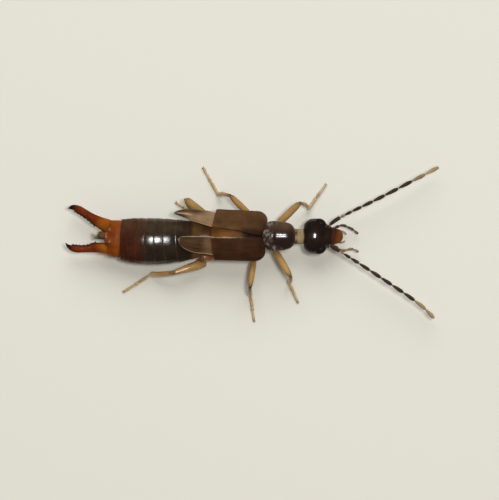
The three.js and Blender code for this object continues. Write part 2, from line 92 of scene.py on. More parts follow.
def through(*pairs):
    """A smooth line through a few (place, value) pairs."""
    places = [p for p, _ in pairs]
    values = [v for _, v in pairs]
    last = len(pairs) - 1

    def slope(i):
        a, b = max(i - 1, 0), min(i + 1, last)
        return (values[b] - values[a]) / (places[b] - places[a])

    def at(place):
        k = 0
        while k < last - 1 and place > places[k + 1]:
            k += 1
        run = places[k + 1] - places[k]
        t = clamp((place - places[k]) / run)
        return (
            values[k] * (1 + 2 * t) * (1 - t) ** 2
            + values[k + 1] * t * t * (3 - 2 * t)
            + run * slope(k) * t * (1 - t) ** 2
            - run * slope(k + 1) * t * t * (1 - t)
        )

    return at


round_power = 2.2


def rounded(t, start, end):
    """1 along most of a length, and falling off like a round end at both ends."""
    near = min(t / start if start else 1, (1 - t) / end if end else 1)
    return (1 - (1 - clamp(near)) ** round_power) ** (1 / round_power)


def even(count):
    return [i / count for i in range(count + 1)]


def crowded(count):
    """Shares from 0 to 1 that lie closer together towards both ends."""
    return [(1 - cos(pi * t)) / 2 for t in even(count)]


def signed_power(value, power):
    return copysign(abs(value) ** power, value)


class Shape:
    """Closed surfaces in millimetres. A tint is a colour, and may have the gloss as a fourth number."""

    def __init__(self):
        self.points, self.faces, self.tints = [], [], []

    def add(self, points, faces, tints):
        start = len(self.points)
        self.points += points
        self.faces += [[start + i for i in face] for face in faces]
        self.tints += tints
        return self


def wrap(shape, shares, sides, place, tint):
    """A closed skin over rings, one at each share of a length, where place(share, angle) is a point."""
    angles = [2 * pi * s / sides for s in range(sides)]
    rings = [[place(share, angle) for angle in angles] for share in shares]
    points = [p for ring in rings for p in ring]
    tints = [tint(share, angle, p) for share, ring in zip(shares, rings) for angle, p in zip(angles, ring)]
    faces = []
    for r in range(len(rings) - 1):
        for s in range(sides):
            a, b = r * sides + s, r * sides + (s + 1) % sides
            faces.append([a, b, b + sides, a + sides])
    for first, ring in ((0, rings[0]), (len(points) - sides, rings[-1])):
        points.append(sum(ring, Vector((0, 0, 0))) / sides)
        tints.append(tints[first])
        faces += [[len(points) - 1, first + s, first + (s + 1) % sides] for s in range(sides)]
    return shape.add(points, faces, tints)


def body(shares, ends, tint, half, rise, drop, y, z, square=2.3, sides=72, relief=None):
    """A body along X from one end to the other.

    half, rise and drop are its half width and its height over and under a middle line at y and z, each
    with the shares of the length over which it is rounded off at the two ends. A measure is a number or
    follows x. relief moves the points of the skin.
    """

    def place(share, angle):
        x = ends[0] + share * (ends[1] - ends[0])
        wide, tall, deep = (measure(c, x) * rounded(share, *caps) for c, *caps in (half, rise, drop))
        across = signed_power(cos(angle), 2 / square) * wide
        high = signed_power(sin(angle), 2 / square) * (tall if sin(angle) > 0 else deep)
        p = Vector((x, measure(y, x) + across, measure(z, x) + high))
        return relief(p, share) if relief else p

    return wrap(Shape(), shares, sides, place, tint)


def plate_normal(over, u, v):
    small = 1e-3
    a, b = clamp(u - small), clamp(u + small)
    c, d = clamp(v - small), clamp(v + small)
    return (over(b, v) - over(a, v)).cross(over(u, d) - over(u, c)).normalized()


def shell(shape, over, thickness, shares, tint, rim):
    """A thin curved plate under over(u, v).

    rim is the share of the plate, from each edge inwards, that is rounded off.
    """
    u_shares, v_shares = shares
    upward = 1 if plate_normal(over, 0.5, 0.5).z > 0 else -1
    rows, columns = len(u_shares), len(v_shares)
    points, tints, under = [], [], []
    for u in u_shares:
        for v in v_shares:
            p = over(u, v)
            full = thickness(u, v)
            thick = full * rounded(u, rim, rim) * rounded(v, rim, rim)
            out = plate_normal(over, u, v) * upward
            points.append(p - out * (full - thick) * 0.5)
            under.append(p - out * (full + thick) * 0.5)
            tints.append(tint(u, v, p))
    ends, sides = (0, rows - 1), (0, columns - 1)
    edge = {i * columns + j for i in range(rows) for j in range(columns) if i in ends or j in sides}
    lower = {}
    for k, p in enumerate(under):
        if k in edge:
            lower[k] = k
        else:
            lower[k] = len(points)
            points.append(p)
            tints.append(tints[k])
    faces = []
    for i in range(rows - 1):
        for j in range(columns - 1):
            a, b = i * columns + j, (i + 1) * columns + j
            faces.append([a, b, b + 1, a + 1])
            faces.append([lower[a + 1], lower[b + 1], lower[b], lower[a]])
    return shape.add(points, faces, tints)


class Tube:
    """A tube along a smooth line through points, with a radius from (share, radius) pairs."""

    def __init__(self, points, stations, flat=1.0, twist=None):
        self.line = [Vector(p) for p in points]
        self.radius = through(*stations)
        self.flat = flat
        steps = 40 * (len(points) - 1)
        self.table = [self.raw(i / steps) for i in range(steps + 1)]
        run = [0.0]
        for a, b in zip(self.table, self.table[1:]):
            run.append(run[-1] + (b - a).length)
        self.length, self.run = run[-1], run
        self.side = twist or up.cross(self.along(0))

    def raw(self, t):
        last = len(self.line) - 1
        k = min(int(t * last), last - 1)
        f = t * last - k
        p1, p2 = self.line[k], self.line[k + 1]
        p0 = self.line[k - 1] if k else p1 * 2 - p2
        p3 = self.line[k + 2] if k + 2 <= last else p2 * 2 - p1
        return (
            p1 * 2
            + (p2 - p0) * f
            + (p0 * 2 - p1 * 5 + p2 * 4 - p3) * f * f
            + (p1 * 3 - p0 - p2 * 3 + p3) * f**3
        ) / 2

    def at(self, share):
        goal = clamp(share) * self.length
        low, high = 0, len(self.run) - 1
        while high - low > 1:
            middle = (low + high) // 2
            low, high = (middle, high) if self.run[middle] <= goal else (low, middle)
        part = (goal - self.run[low]) / max(self.run[high] - self.run[low], 1e-9)
        return self.table[low].lerp(self.table[high], part)

    def along(self, share):
        return (self.at(share + 0.01) - self.at(share - 0.01)).normalized()

    def outward(self, share, angle):
        """Away from the middle line, at an angle round it."""
        along = self.along(share)
        side = (self.side - along * self.side.dot(along)).normalized()
        return side * cos(angle) + along.cross(side) * sin(angle) * self.flat

    def surface(self, share, angle):
        out = self.outward(share, angle)
        return self.at(share) + out * self.radius(share), out.normalized()

    def skin(self, shape, tint, rows=24, sides=20, ends=(0.06, 0.06), shares=None):
        def place(share, angle):
            r = self.radius(share) * max(rounded(share, *ends), 0.05)
            return self.at(share) + self.outward(share, angle) * r

        return wrap(shape, shares or crowded(rows), sides, place, tint)


def stretch(tube, start, end):
    """Four points along part of a tube."""
    return [tube.at(start + (end - start) * t) for t in (0, 0.33, 0.67, 1.0)]


def hair(shape, root, direction, length, radius, tint, bend=Vector((0, 0, 0))):
    """One tapered hair: a three-sided spike with a bend half way."""
    along = direction.normalized()
    side = along.orthogonal().normalized()
    other = along.cross(side)
    middle = root + along * length * 0.5 + bend * length * 0.08
    tip = root + along * length + bend * length * 0.3
    points = []
    for centre, r in ((root - along * length * 0.08, radius), (middle, radius * 0.7)):
        for s in range(3):
            angle = 2 * pi * s / 3
            points.append(centre + (side * cos(angle) + other * sin(angle)) * r)
    points.append(tip)
    faces = [[2, 1, 0]]
    for s in range(3):
        n = (s + 1) % 3
        faces.append([s, n, 3 + n, 3 + s])
        faces.append([3 + s, 3 + n, 6])
    shape.add(points, faces, [tint] * 7)


def new_object(name, data):
    thing = bpy.data.objects.new(name, data)
    bpy.context.scene.collection.objects.link(thing)
    return thing


def piece(name, shape, look, slot_name, *nodes):
    """Turns a shape into an object that rides with the model and stands for the CAD nodes named."""
    mesh = bpy.data.meshes.new(name)
    mesh.from_pydata([tuple(p * mm + origin) for p in shape.points], [], shape.faces)
    tint = mesh.color_attributes.new("tint", "FLOAT_COLOR", "POINT")
    colours = [tone if len(tone) == 4 else (*tone, 1.0) for tone in shape.tints]
    tint.data.foreach_set("color", [channel for colour in colours for channel in colour])
    work = bmesh.new()
    work.from_mesh(mesh)
    bmesh.ops.recalc_face_normals(work, faces=work.faces)
    work.to_mesh(mesh)
    work.free()
    mesh.polygons.foreach_set("use_smooth", [True] * len(mesh.polygons))
    mesh.materials.append(looks[look])
    thing = new_object(name, mesh)
    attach(thing, "root")
    if nodes:
        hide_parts(*nodes)


def plain(value):
    """The same tone or thickness everywhere."""
    return lambda *place: value


def fade(near, far, start, end, strength=1.0):
    """A tint that passes from one tone to another between two shares of a length."""
    return lambda share, angle, p: mix(near, far, smooth(start, end, share) * strength)


# Materials: the tint of each point, broken up by fine noise, with a grain of its own
mottle_rate, patch_rate = 2.5, 6.0
pit_depth, relief_depth = 1.4, 0.006
glow_depth, glow_colour = 0.12, (1.0, 0.55, 0.25)


class Look:
    """The shader nodes of one material. Every rate is a number of spots in a millimetre."""

    def __init__(self, name):
        self.material = bpy.data.materials.new(name)
        self.material.use_nodes = True
        self.tree = self.material.node_tree
        self.place = self.node("TexCoord", "Object", {})
        self.tint = self.tree.nodes.new("ShaderNodeAttribute")
        self.tint.attribute_name = "tint"

    def feed(self, node, inputs):
        """Sets sockets to plain values, or links them to the outputs of other nodes."""
        for name, value in inputs.items():
            if isinstance(value, bpy.types.NodeSocket):
                self.tree.links.new(value, node.inputs[name])
            else:
                node.inputs[name].default_value = value

    def node(self, kind, output, inputs, **settings):
        node = self.tree.nodes.new("ShaderNode" + kind)
        for name, value in settings.items():
            setattr(node, name, value)
        self.feed(node, inputs)
        return node.outputs[output]

    def clouds(self, rate, detail):
        return self.node("TexNoise", "Fac", {"Vector": self.place, "Scale": rate / mm, "Detail": detail})

    def ranged(self, source, middle, spread):
        """Noise spread out evenly to both sides of a middle value."""
        limits = {"From Min": 0.3, "From Max": 0.7, "To Min": middle - spread, "To Max": middle + spread}
        return self.node("MapRange", "Result", {"Value": source, **limits})

    def colour(self, mottling):
        """The tint of each point, lighter and darker in clouds."""
        level = self.ranged(self.clouds(mottle_rate, 5.0), 1, mottling)
        grey = self.node("CombineColor", "Color", {"Red": level, "Green": level, "Blue": level})
        layers = {"Factor": 1.0, "A": self.tint.outputs["Color"], "B": grey}
        return self.node("Mix", "Result", layers, data_type="RGBA", blend_type="MULTIPLY")

    def relief(self, strength, grain, pits):
        """Fine bumps, and pits between them where pits is not 0."""
        height = self.clouds(grain, 3.0)
        if pits:
            cells = self.node("TexVoronoi", "Distance", {"Vector": self.place, "Scale": pits / mm})
            terms = {0: cells, 1: pit_depth, 2: height}
            height = self.node("Math", "Value", terms, operation="MULTIPLY_ADD")
        bumps = {"Strength": strength, "Distance": relief_depth * mm, "Height": height}
        return self.node("Bump", "Normal", bumps)


def cuticle(
    name, roughness, bump, grain=30, mottling=0.25, pits=0, glow=0.0, specular=0.5, patchiness=0.1,
    worn=False,
):
    """glow is the light that comes through. A worn surface reflects less where a point has less gloss."""
    look = Look(name)
    if worn:
        gloss = {0: look.tint.outputs["Alpha"], 1: specular}
        specular = look.node("Math", "Value", gloss, operation="MULTIPLY")
    inputs = {
        "Base Color": look.colour(mottling),
        "Roughness": look.ranged(look.clouds(patch_rate, 3.0), roughness, patchiness),
        "Normal": look.relief(bump, grain, pits),
        "Specular IOR Level": specular,
        "Subsurface Weight": glow,
        "Subsurface Radius": glow_colour,
        "Subsurface Scale": glow_depth * mm,
    }
    look.feed(look.tree.nodes["Principled BSDF"], inputs)
    return look.material


looks = {
    "black": cuticle("black_cuticle", 0.14, bump=0.08, grain=45, patchiness=0.03, worn=True),
    "brown": cuticle("brown_cuticle", 0.17, bump=0.16, grain=28, patchiness=0.04, worn=True),
    "abdomen": cuticle(
        "abdomen_cuticle", 0.15, bump=0.12, grain=60, pits=22, patchiness=0.04, specular=0.4, worn=True
    ),
    "amber": cuticle("amber_cuticle", 0.4, bump=0.3, grain=26, glow=0.04, specular=0.07),
    "straw": cuticle("straw_cuticle", 0.2, bump=0.14, grain=24, glow=0.3, mottling=0.15, specular=0.6),
    "chest": cuticle("chest_cuticle", 0.5, bump=0.3, grain=24, glow=0.1, specular=0.06),
    "tegmen": cuticle("tegmen_leather", 0.6, bump=0.5, grain=26, pits=16, mottling=0.2, specular=0.06),
    "wing": cuticle("wing_membrane", 0.45, bump=0.4, grain=18, glow=0.05, mottling=0.2, specular=0.08),
    "eye": cuticle("eye_facets", 0.45, bump=0.05, mottling=0.1, patchiness=0.04, specular=0.15),
    "membrane": cuticle("neck_membrane", 0.5, bump=0.5, grain=20, glow=0.25, specular=0.25),
    "antenna": cuticle("antenna_cuticle", 0.55, bump=0.4, grain=45, mottling=0.2, specular=0.2),
    "hair": cuticle("hair", 0.45, bump=0.0, mottling=0.1, glow=0.1),
}

black = (0.0105, 0.0055, 0.004)
straw = (0.4, 0.225, 0.07)
pale_straw = (0.6, 0.45, 0.235)
knee_brown = (0.12, 0.06, 0.02)
joint_tone = (0.42, 0.3, 0.19)
cream = (0.7, 0.6, 0.42)
horn_black = (0.02, 0.008, 0.006)
hair_tone = (0.5, 0.4, 0.25)
amber_hair_tone = (0.4, 0.25, 0.1)
brown_hair_tone = (0.22, 0.14, 0.07)

# Head
head_rear, head_front = 2.27, 3.67
head_y, head_z = -0.01, 1.0
head_half = through(
    (2.27, 0.38), (2.33, 0.52), (2.41, 0.62), (2.5, 0.695), (2.62, 0.745), (2.78, 0.768), (2.92, 0.758),
    (3.03, 0.71), (3.2, 0.6), (3.35, 0.51), (3.46, 0.45), (3.57, 0.37), (3.67, 0.27),
)
head_rise = through(
    (2.27, 0.368), (2.55, 0.4278), (2.858, 0.46), (3.194, 0.4048), (3.46, 0.2576), (3.586, 0.1656),
    (3.67, 0.0644),
)
head_drop = through((2.27, 0.368), (2.55, 0.4324), (2.9, 0.46), (3.39, 0.3956), (3.67, 0.3312))
head_axis = through((head_rear, head_z), (head_front, head_z - 0.14))
eye_x, eye_y, eye_z = 3.05, 0.56, head_z + 0.07
eye_size = Vector((0.26, 0.19, 0.2))
eye_turn = radians(-32)
facet_dome, facet_groove = 1.008, 0.985
sockets = [(3.43, 0.42), (3.43, -0.42)]


def head_relief(p, share):
    """The fine Y-shaped line on the crown and the dents between the sockets."""
    nape = 0.035 * bell(p.y, head_y, 0.22) * (1 - smooth(2.27, 2.4, p.x))
    p = p + Vector((nape, 0, 0))
    if p.z < head_axis(p.x):
        return p
    y = p.y - head_y
    forked = smooth(2.85, 2.95, p.x)
    stem = bell(y, 0, 0.018) * (1 - forked)
    fork = bell(abs(y) - (p.x - 2.88) * 0.8, 0, 0.022) * forked * (1 - smooth(3.1, 3.25, p.x))
    dents = bell(abs(y), 0.19, 0.09) * bell(p.x, 3.3, 0.1)
    return p - Vector((0, 0, 0.003 * stem + 0.004 * fork + 0.012 * dents))


def head_tint(share, angle, p):
    crown = clamp(0.4 + cloud(p.x * 3, p.y * 3, 1)) * bell(p.y, 0, 0.4)
    tone = mix(black, (0.035, 0.014, 0.008), crown * 0.6)
    tone = mix(tone, (0.026, 0.01, 0.007), smooth(3.1, 3.4, p.x - abs(p.y - head_y) * 0.5))
    tone = mix(tone, (0.055, 0.019, 0.009), smooth(3.45, 3.68, p.x - 0.25 * p.y))
    below = smooth(0.1, -0.3, p.z - head_axis(p.x))
    return (*mix(tone, (0.05, 0.02, 0.01), below * 0.6), 1 - 0.85 * smooth(3.3, 3.5, p.x))


head = body(
    crowded(90), (head_rear, head_front), head_tint, half=(head_half, 0.07, 0.05),
    rise=(head_rise, 0.2, 0.1), drop=(head_drop, 0.2, 0.08), y=head_y, z=head_axis, square=2.08, sides=96,
    relief=head_relief,
)


def socket(x, y):
    """A raised ring round the root of an antenna."""
    turns = [2 * pi * k / 24 for k in range(25)]
    centre = Vector((x, y, head_z - 0.03))
    ring = [centre + 0.1 * Vector((0.2 * cos(a), cos(a), sin(a))) for a in turns]
    tube = Tube(ring, [(0, 0.024), (1, 0.024)], twist=Vector((1, 0, 0)))
    tube.skin(head, plain((0.2, 0.11, 0.06)), rows=36, sides=10, ends=(0.001, 0.001))


for place in sockets:
    socket(*place)
piece("head_capsule", head, "black", "black_cuticle", "head")


def turn_about(corner, point):
    """The angle at which a point of the unit ball lies around a corner of it."""
    across = corner.orthogonal().normalized()
    beyond = corner.cross(corner.orthogonal()).normalized()
    return atan2((point - corner).dot(beyond), (point - corner).dot(across))


def eye_piece(side, name):
    """A compound eye: an ellipsoid of small domed facets."""
    work = bmesh.new()
    bmesh.ops.create_icosphere(work, subdivisions=4, radius=1.0)
    work.faces.index_update()
    grooves = {face.index: face.calc_center_median() for face in work.faces}
    number_of = {index: k for k, index in enumerate(grooves)}
    turn = Matrix.Rotation(side * eye_turn, 3, "Z")
    middle = Vector((eye_x, side * eye_y + head_y, eye_z))

    def placed(direction, height):
        return middle + turn @ (direction.normalized() * height * eye_size)

    points = [placed(groove, facet_groove) for groove in grooves.values()]
    tints = [(0.005, 0.004, 0.004)] * len(points)
    faces = []
    for corner in work.verts:
        ring = sorted(corner.link_faces, key=lambda f, at=corner.co: turn_about(at, grooves[f.index]))
        around = [number_of[face.index] for face in ring]
        faces += [[len(points), around[k - 1], around[k]] for k in range(len(around))]
        points.append(placed(corner.co, facet_dome))
        tints.append((0.014, 0.009, 0.008))
    work.free()
    piece(f"compound_eye_{name}", Shape().add(points, faces, tints), "eye", "eye", f"eye_{name}")


for side, name in both_sides:
    eye_piece(side, name)

# Mouthparts
labrum_rear, labrum_front = head_front - 0.3, head_front + 0.355


def labrum_curve(*pairs):
    """A smooth line over the labrum, through values at shares of its length."""
    return through(*((labrum_rear + share * (labrum_front - labrum_rear), value) for share, value in pairs))


def labrum_tint(share, angle, p):
    return mix((0.045, 0.015, 0.008), (0.2, 0.056, 0.013), smooth(0.4, 0.78, share - 0.4 * p.y))


labrum_half = labrum_curve((0, 0.3), (0.35, 0.345), (0.55, 0.33), (0.78, 0.265), (0.9, 0.2), (1, 0.14))
labrum = body(
    crowded(30), (labrum_rear, labrum_front), labrum_tint, half=(labrum_half, 0.1, 0.12),
    rise=(labrum_curve((0, 0.02), (0.35, 0.165), (0.6, 0.14), (1, 0.09)), 0.1, 0.35),
    drop=(0.07, 0.1, 0.3), y=head_y, z=labrum_curve((0, head_z - 0.14), (1, head_z - 0.26)), sides=48,
)
piece("labrum_plate", labrum, "amber", "amber_cuticle", "labrum")


def jaw_piece(side, name):
    line = [
        (head_front - 0.12, side * 0.2, head_z - 0.38),
        (head_front + 0.16, side * 0.2, head_z - 0.42),
        (head_front + 0.34, side * 0.07, head_z - 0.43),
    ]
    tube = Tube(line, [(0, 0.12), (0.4, 0.11), (0.7, 0.08), (1, 0.03)], flat=0.75)
    jaw = tube.skin(Shape(), fade((0.16, 0.05, 0.014), (0.02, 0.01, 0.007), 0.55, 0.95))
    piece(f"jaw_{name}", jaw, "amber", "amber_cuticle", f"mandible_{name}")


for side, name in both_sides:
    jaw_piece(side, name)

lip = body(
    crowded(20), (head_front - 0.3, head_front + 0.16),
    lambda share, angle, p: mix((0.16, 0.07, 0.025), (0.3, 0.16, 0.06), share), half=(0.2, 0.1, 0.3),
    rise=(0.1, 0.1, 0.3), drop=(0.1, 0.1, 0.3), y=head_y, z=lambda x: 0.44 - 0.1 * (x - head_front),
    sides=32,
)
lip_palps = {
    "left": [(3.72, 0.12, 0.44), (3.97, 0.21, 0.42), (4.12, 0.13, 0.36), (4.17, 0.05, 0.31)],
    "right": [(3.72, -0.14, 0.44), (3.9, -0.27, 0.42), (4.04, -0.26, 0.36), (4.12, -0.2, 0.31)],
}
lip_palp_stations = [(0, 0.04), (0.4, 0.05), (0.5, 0.035), (0.8, 0.045), (1, 0.03)]
for line in lip_palps.values():
    tube = Tube(line, lip_palp_stations)
    tube.skin(lip, fade((0.24, 0.15, 0.07), cream, 0.45, 0.55, strength=0.4), rows=20, sides=14)
piece("lower_lip", lip, "amber", "brown_cuticle", "labium")

# Hairs: all of them go into one shape
setae = Shape()
hair_radius, thick_hair_radius = 0.0035, 0.004
ground_clearance = 0.03


def bristles(tube, count, length, radius=hair_radius, lean=0.6, end=0.95, tone=hair_tone):
    """Fine hairs over a tube that lean towards its far end. None of them reaches the ground."""
    for _ in range(count):
        share, angle = random.uniform(0.05, end), random.uniform(0, 2 * pi)
        root, out = tube.surface(share, angle)
        along = tube.along(share)
        direction = out * (1 - lean) + along * lean
        shortest, longest = length * 0.7, length * 1.2
        if root.z + direction.normalized().z * longest < ground_clearance:
            continue
        hair(setae, root, direction, random.uniform(shortest, longest), radius, tone, bend=along)


# Palps
palp_joints = [0, 0.14, 0.3, 0.56, 0.82, 1]


def palp_piece(name, tones):
    """tones are those of the first and the last segment."""
    palp = Shape()
    whole = Tube(palp_lines[name], [(0, 0.05), (1, 0.05)])
    for k, (start, end) in enumerate(zip(palp_joints, palp_joints[1:])):
        thick = 0.068 - 0.003 * k
        stations = [(0, thick * 0.6), (0.35, thick * 0.85), (0.75, thick), (1, thick * 0.7)]
        part = Tube(stretch(whole, start, end), stations)
        tint = fade(mix(*tones, k / 4), cream, 0.9, 1, strength=0.5)
        part.skin(palp, tint, rows=16, sides=14, ends=(0.12, 0.12))
        bristles(part, 14, 0.07, thick_hair_radius)
    piece(f"palp_{name}_segments", palp, "antenna", "brown_cuticle", f"palp_{name}")


palp_lines = {
    "left": [
        (3.5, 0.26, 0.56), (3.82, 0.42, 0.55), (4.06, 0.454, 0.54), (4.41, 0.302, 0.46),
        (4.687, 0.095, 0.36),
    ],
    "right": [
        (3.5, -0.28, 0.56), (3.84, -0.56, 0.55), (4.06, -0.626, 0.54), (4.41, -0.56, 0.46),
        (4.71, -0.69, 0.36),
    ],
}
palp_piece("left", ((0.06, 0.035, 0.02), (0.1, 0.065, 0.04)))
palp_piece("right", ((0.12, 0.07, 0.03), (0.3, 0.2, 0.1)))

# Antennae
antenna_dark, antenna_pale = (0.034, 0.018, 0.012), (0.36, 0.26, 0.14)
second_joint_tone, dark_hair_tone = (0.34, 0.24, 0.16), (0.2, 0.13, 0.08)
antenna_radius = 0.082
first_radii = [0.082, 0.056, 0.064, 0.072, 0.078]
segment_gap = 0.002


def antenna_stations(k):
    """The first segment is a long club, and the others are beads."""
    thick = first_radii[k] if k < len(first_radii) else antenna_radius
    if k == 0:
        return [(0, thick * 0.6), (0.4, thick * 0.95), (0.85, thick), (1, thick * 0.7)]
    return [(0, thick * 0.42), (0.25, thick * 0.74), (0.6, thick), (0.85, thick * 0.86), (1, thick * 0.5)]


def segment_tint(tone):
    """Paler at both ends, where a segment meets the next."""

    def tint(share, angle, p):
        ends = (0.5 * (1 - smooth(0.02, 0.1, share)), 0.35 * smooth(0.95, 1, share))
        return layered(tone, *((joint_tone, end) for end in ends))

    return tint


def antenna_piece(name, line, lengths, paleness):
    """The segments thread on a thin core. paleness is how pale each of the last segments is."""
    antenna = Shape()
    whole = Tube(line, [(0, 0.035), (1, 0.03)])
    shares = [0.99 * t for t in even(80)]
    whole.skin(antenna, plain(joint_tone), sides=10, ends=(0.002, 0.004), shares=shares)
    run, total = 0, sum(lengths)
    dark_count = len(lengths) - len(paleness)
    for k, length in enumerate(lengths):
        start, end = run / total, (run + length) / total
        run += length
        pale = paleness[k - dark_count] if k >= dark_count else 0.0
        tone = second_joint_tone if k == 1 else mix(antenna_dark, antenna_pale, pale)
        part = Tube(stretch(whole, start + segment_gap / 2, end - segment_gap / 2), antenna_stations(k))
        part.skin(antenna, segment_tint(tone), rows=26, sides=20, ends=(0.02, 0.05))
        bristles(part, 46, 0.075, lean=0.45, tone=mix(hair_tone, dark_hair_tone, 1 - pale))
    piece(f"antenna_{name}_segments", antenna, "antenna", "antenna", f"antenna_{name}")


antenna_piece(
    "left", [(3.42, 0.45, 0.96), (3.93, 0.82, 1.02), (5.83, 1.76, 1.1), (8.165, 2.98, 0.86)],
    [0.56, 0.17, 0.34, 0.43, 0.49, 0.53, 0.6, 0.62, 0.6, 0.6], paleness=(0.75, 1.0),
)
antenna_piece(
    "right",
    [(3.42, -0.41, 0.96), (3.89, -0.67, 1.02), (5.18, -1.49, 1.1), (7.2, -2.85, 0.92), (7.97, -3.56, 0.8)],
    [0.5, 0.17, 0.33, 0.4, 0.52, 0.53, 0.53, 0.55, 0.55, 0.57, 0.5], paleness=(0.95, 1.0),
)


# Neck
def folded(width, depth):
    """A measure of the neck, with its fine folds."""
    return lambda x: width + depth * sin(x * 52)


def neck_tint(share, angle, p):
    """Pale, with a dark patch on either side where the neck comes out from under the pronotum."""
    patches = bell(abs(p.y + 0.07), 0.2, 0.13) * bell(p.x, 1.99, 0.075)
    return mix((0.34, 0.25, 0.13), (0.05, 0.025, 0.015), patches)


neck = body(
    even(40), (1.5, 2.36), neck_tint, half=(folded(0.335, 0.012), 0, 0), rise=(folded(0.2, 0.01), 0, 0),
    drop=(folded(0.26, 0.01), 0, 0), y=-0.02, z=head_z - 0.06, sides=64,
)
piece("neck_folds", neck, "membrane", "membrane", "neck")

# Pronotum: a shield with a raised, glossy front and thin, paler edges
pronotum_rear, pronotum_length, pronotum_half_width, pronotum_edge_z = 0.52, 1.45, 0.67, 1.24
pronotum_outline = through(
    (0, 0.2), (0.05, 0.55), (0.15, 0.88), (0.3, 1), (0.45, 1), (0.62, 0.95), (0.74, 0.9), (0.85, 0.81),
    (0.93, 0.65), (0.975, 0.46), (1, 0.2),
)
pronotum_crown = through(
    (0, 0.66), (0.2, 0.92), (0.36, 1), (0.56, 0.96), (0.77, 0.87), (0.92, 0.66), (1, 0.42)
)


def pronotum_over(u, v):
    """A domed shield with a fine middle line, and a fold and wrinkles in its rear part."""
    x = pronotum_rear + u * pronotum_length
    w = 2 * v - 1
    y = w * pronotum_outline(u) * pronotum_half_width
    crown = pronotum_crown(u) * 0.33 * (1 - abs(w) ** 2.1) ** 0.8
    line = 0.004 * bell(y, 0, 0.012) * smooth(0.3, 0.4, u) * (1 - smooth(0.85, 0.95, u))
    fold = 0.018 * bell(x, 1.0, 0.06) * (1 - smooth(0.3, 0.6, abs(y)))
    wrinkles = 0.009 * cloud(x * 20, y * 12, 3) * (1 - smooth(0.85, 1.05, x))
    return Vector((x, y, pronotum_edge_z + crown - line - fold + wrinkles))


def pronotum_tint(u, v, p):
    """Dark and glossy in front, and dull grey brown behind, with light grey patches there that are painted
    sheen on the wrinkles.
    """
    patch = cloud(p.x * 9, p.y * 7, 5)
    dark = mix((0.022, 0.01, 0.007), (0.075, 0.042, 0.024), smooth(0.05, 0.5, p.y))
    dark = mix(dark, (0.06, 0.025, 0.012), smooth(0.9, 0.98, u))
    # The rear zone's own dull grey brown, with light grey patches painted in as a silver sheen on its
    # wrinkles.
    worn = mix((0.05, 0.034, 0.024), (0.22, 0.2, 0.18), smooth(-0.15, 0.5, patch))
    reach = 0.5 if p.y < 0 else 0.3
    rear = 0.93 + reach * smooth(0.3, 0.6, abs(p.y)) + 0.14 * cloud(p.x * 6, p.y * 6, 0)
    grey_and_sheen = (1 - smooth(rear - 0.2, rear + 0.16, p.x)) * (1 - 0.4 * smooth(0.15, 0.4, p.y))
    tone = mix(dark, worn, grey_and_sheen)
    tone = mix(tone, (0.2, 0.14, 0.09), smooth(0.6, 0.66, abs(p.y)) * 0.5)
    return (*tone, 1 - 0.75 * grey_and_sheen)


pronotum_shares = (crowded(90), crowded(90))
pronotum = shell(Shape(), pronotum_over, plain(0.06), pronotum_shares, pronotum_tint, rim=0.05)
piece("pronotum_shield", pronotum, "brown", "brown_cuticle", "pronotum")

# Thorax under the shield and the wing cases
front_chest = body(
    crowded(30), (0.56, 1.7),
    lambda share, angle, p: mix((0.26, 0.14, 0.055), (0.1, 0.05, 0.02), bell(abs(p.y), 0.3, 0.1) * 0.7),
    half=(through((0.56, 0.44), (1, 0.5), (1.7, 0.36)), 0.2, 0.2), rise=(0.4, 0.2, 0.25),
    drop=(through((0.56, 0.32), (1, 0.36), (1.7, 0.26)), 0.2, 0.25), y=0, z=0.78, sides=48,
)
piece("front_chest", front_chest, "chest", "straw_cuticle", "prothorax")

chest_seams = (-1.15, -0.55, -0.1, 0.25)


def chest_seam(p, width):
    return sum(bell(p.x - 0.3 * (p.z - 0.7), place, width) for place in chest_seams)


def chest_relief(p, share):
    """Sunk lines between the plates of the chest."""
    below = smooth(0.9, 0.6, p.z)
    edge = bell(p.z, 0.82, 0.03)
    middle = Vector((p.x, -0.03, 0.8))
    return p + (middle - p) * (0.1 * chest_seam(p, 0.025) * below + 0.05 * edge)


def chest_tint(share, angle, p):
    """Brown on top, with painted shade darkening it towards the front, and straw below, in plates with pale
    seams.
    """
    # Painted shade: the top goes dark towards the front, in the hollow under the front of the wing cases.
    top = mix((0.2, 0.08, 0.024), (0.022, 0.01, 0.006), smooth(-0.5, -0.1, p.x))
    blotches = 0.5 + 0.5 * cloud(p.x * 2.5, p.y * 3, p.z * 4)
    plates = mix((0.26, 0.14, 0.055), (0.13, 0.065, 0.025), blotches)
    plates = mix(plates, (0.4, 0.28, 0.14), clamp(chest_seam(p, 0.04)) * 0.6)
    return mix(top, plates, smooth(1.0, 0.7, p.z))


chest = body(
    crowded(80), (-1.78, 0.62), chest_tint,
    half=(through((-1.72, 0.9), (-0.9, 0.99), (0, 0.93), (0.62, 0.6)), 0.06, 0.12),
    rise=(through((-1.78, 0.42), (-1.3, 0.7), (0.2, 0.68), (0.62, 0.5)), 0.06, 0.1),
    drop=(through((-1.72, 0.36), (-0.6, 0.42), (0.62, 0.3)), 0.1, 0.12),
    y=through((-1.72, -0.06), (0.5, 0)), z=0.76, sides=96, relief=chest_relief,
)
piece("hind_chest", chest, "chest", "straw_cuticle", "thorax")

# Wing cases
tegmen_rear, tegmen_length, tegmen_width, tegmen_edge_z, tegmen_crown = -1.68, 2.37, 1.06, 1.06, 0.6
tegmen_slant = {1: 0.09, -1: 0.13}
tegmen_front = tegmen_rear + tegmen_length
tegmen_narrowing = {1: 0.2, -1: 0.05}
tegmen_corner = 0.5
left_yaw, left_roll = radians(-8), radians(-5)
right_shift = Vector((0, -0.04, 0))


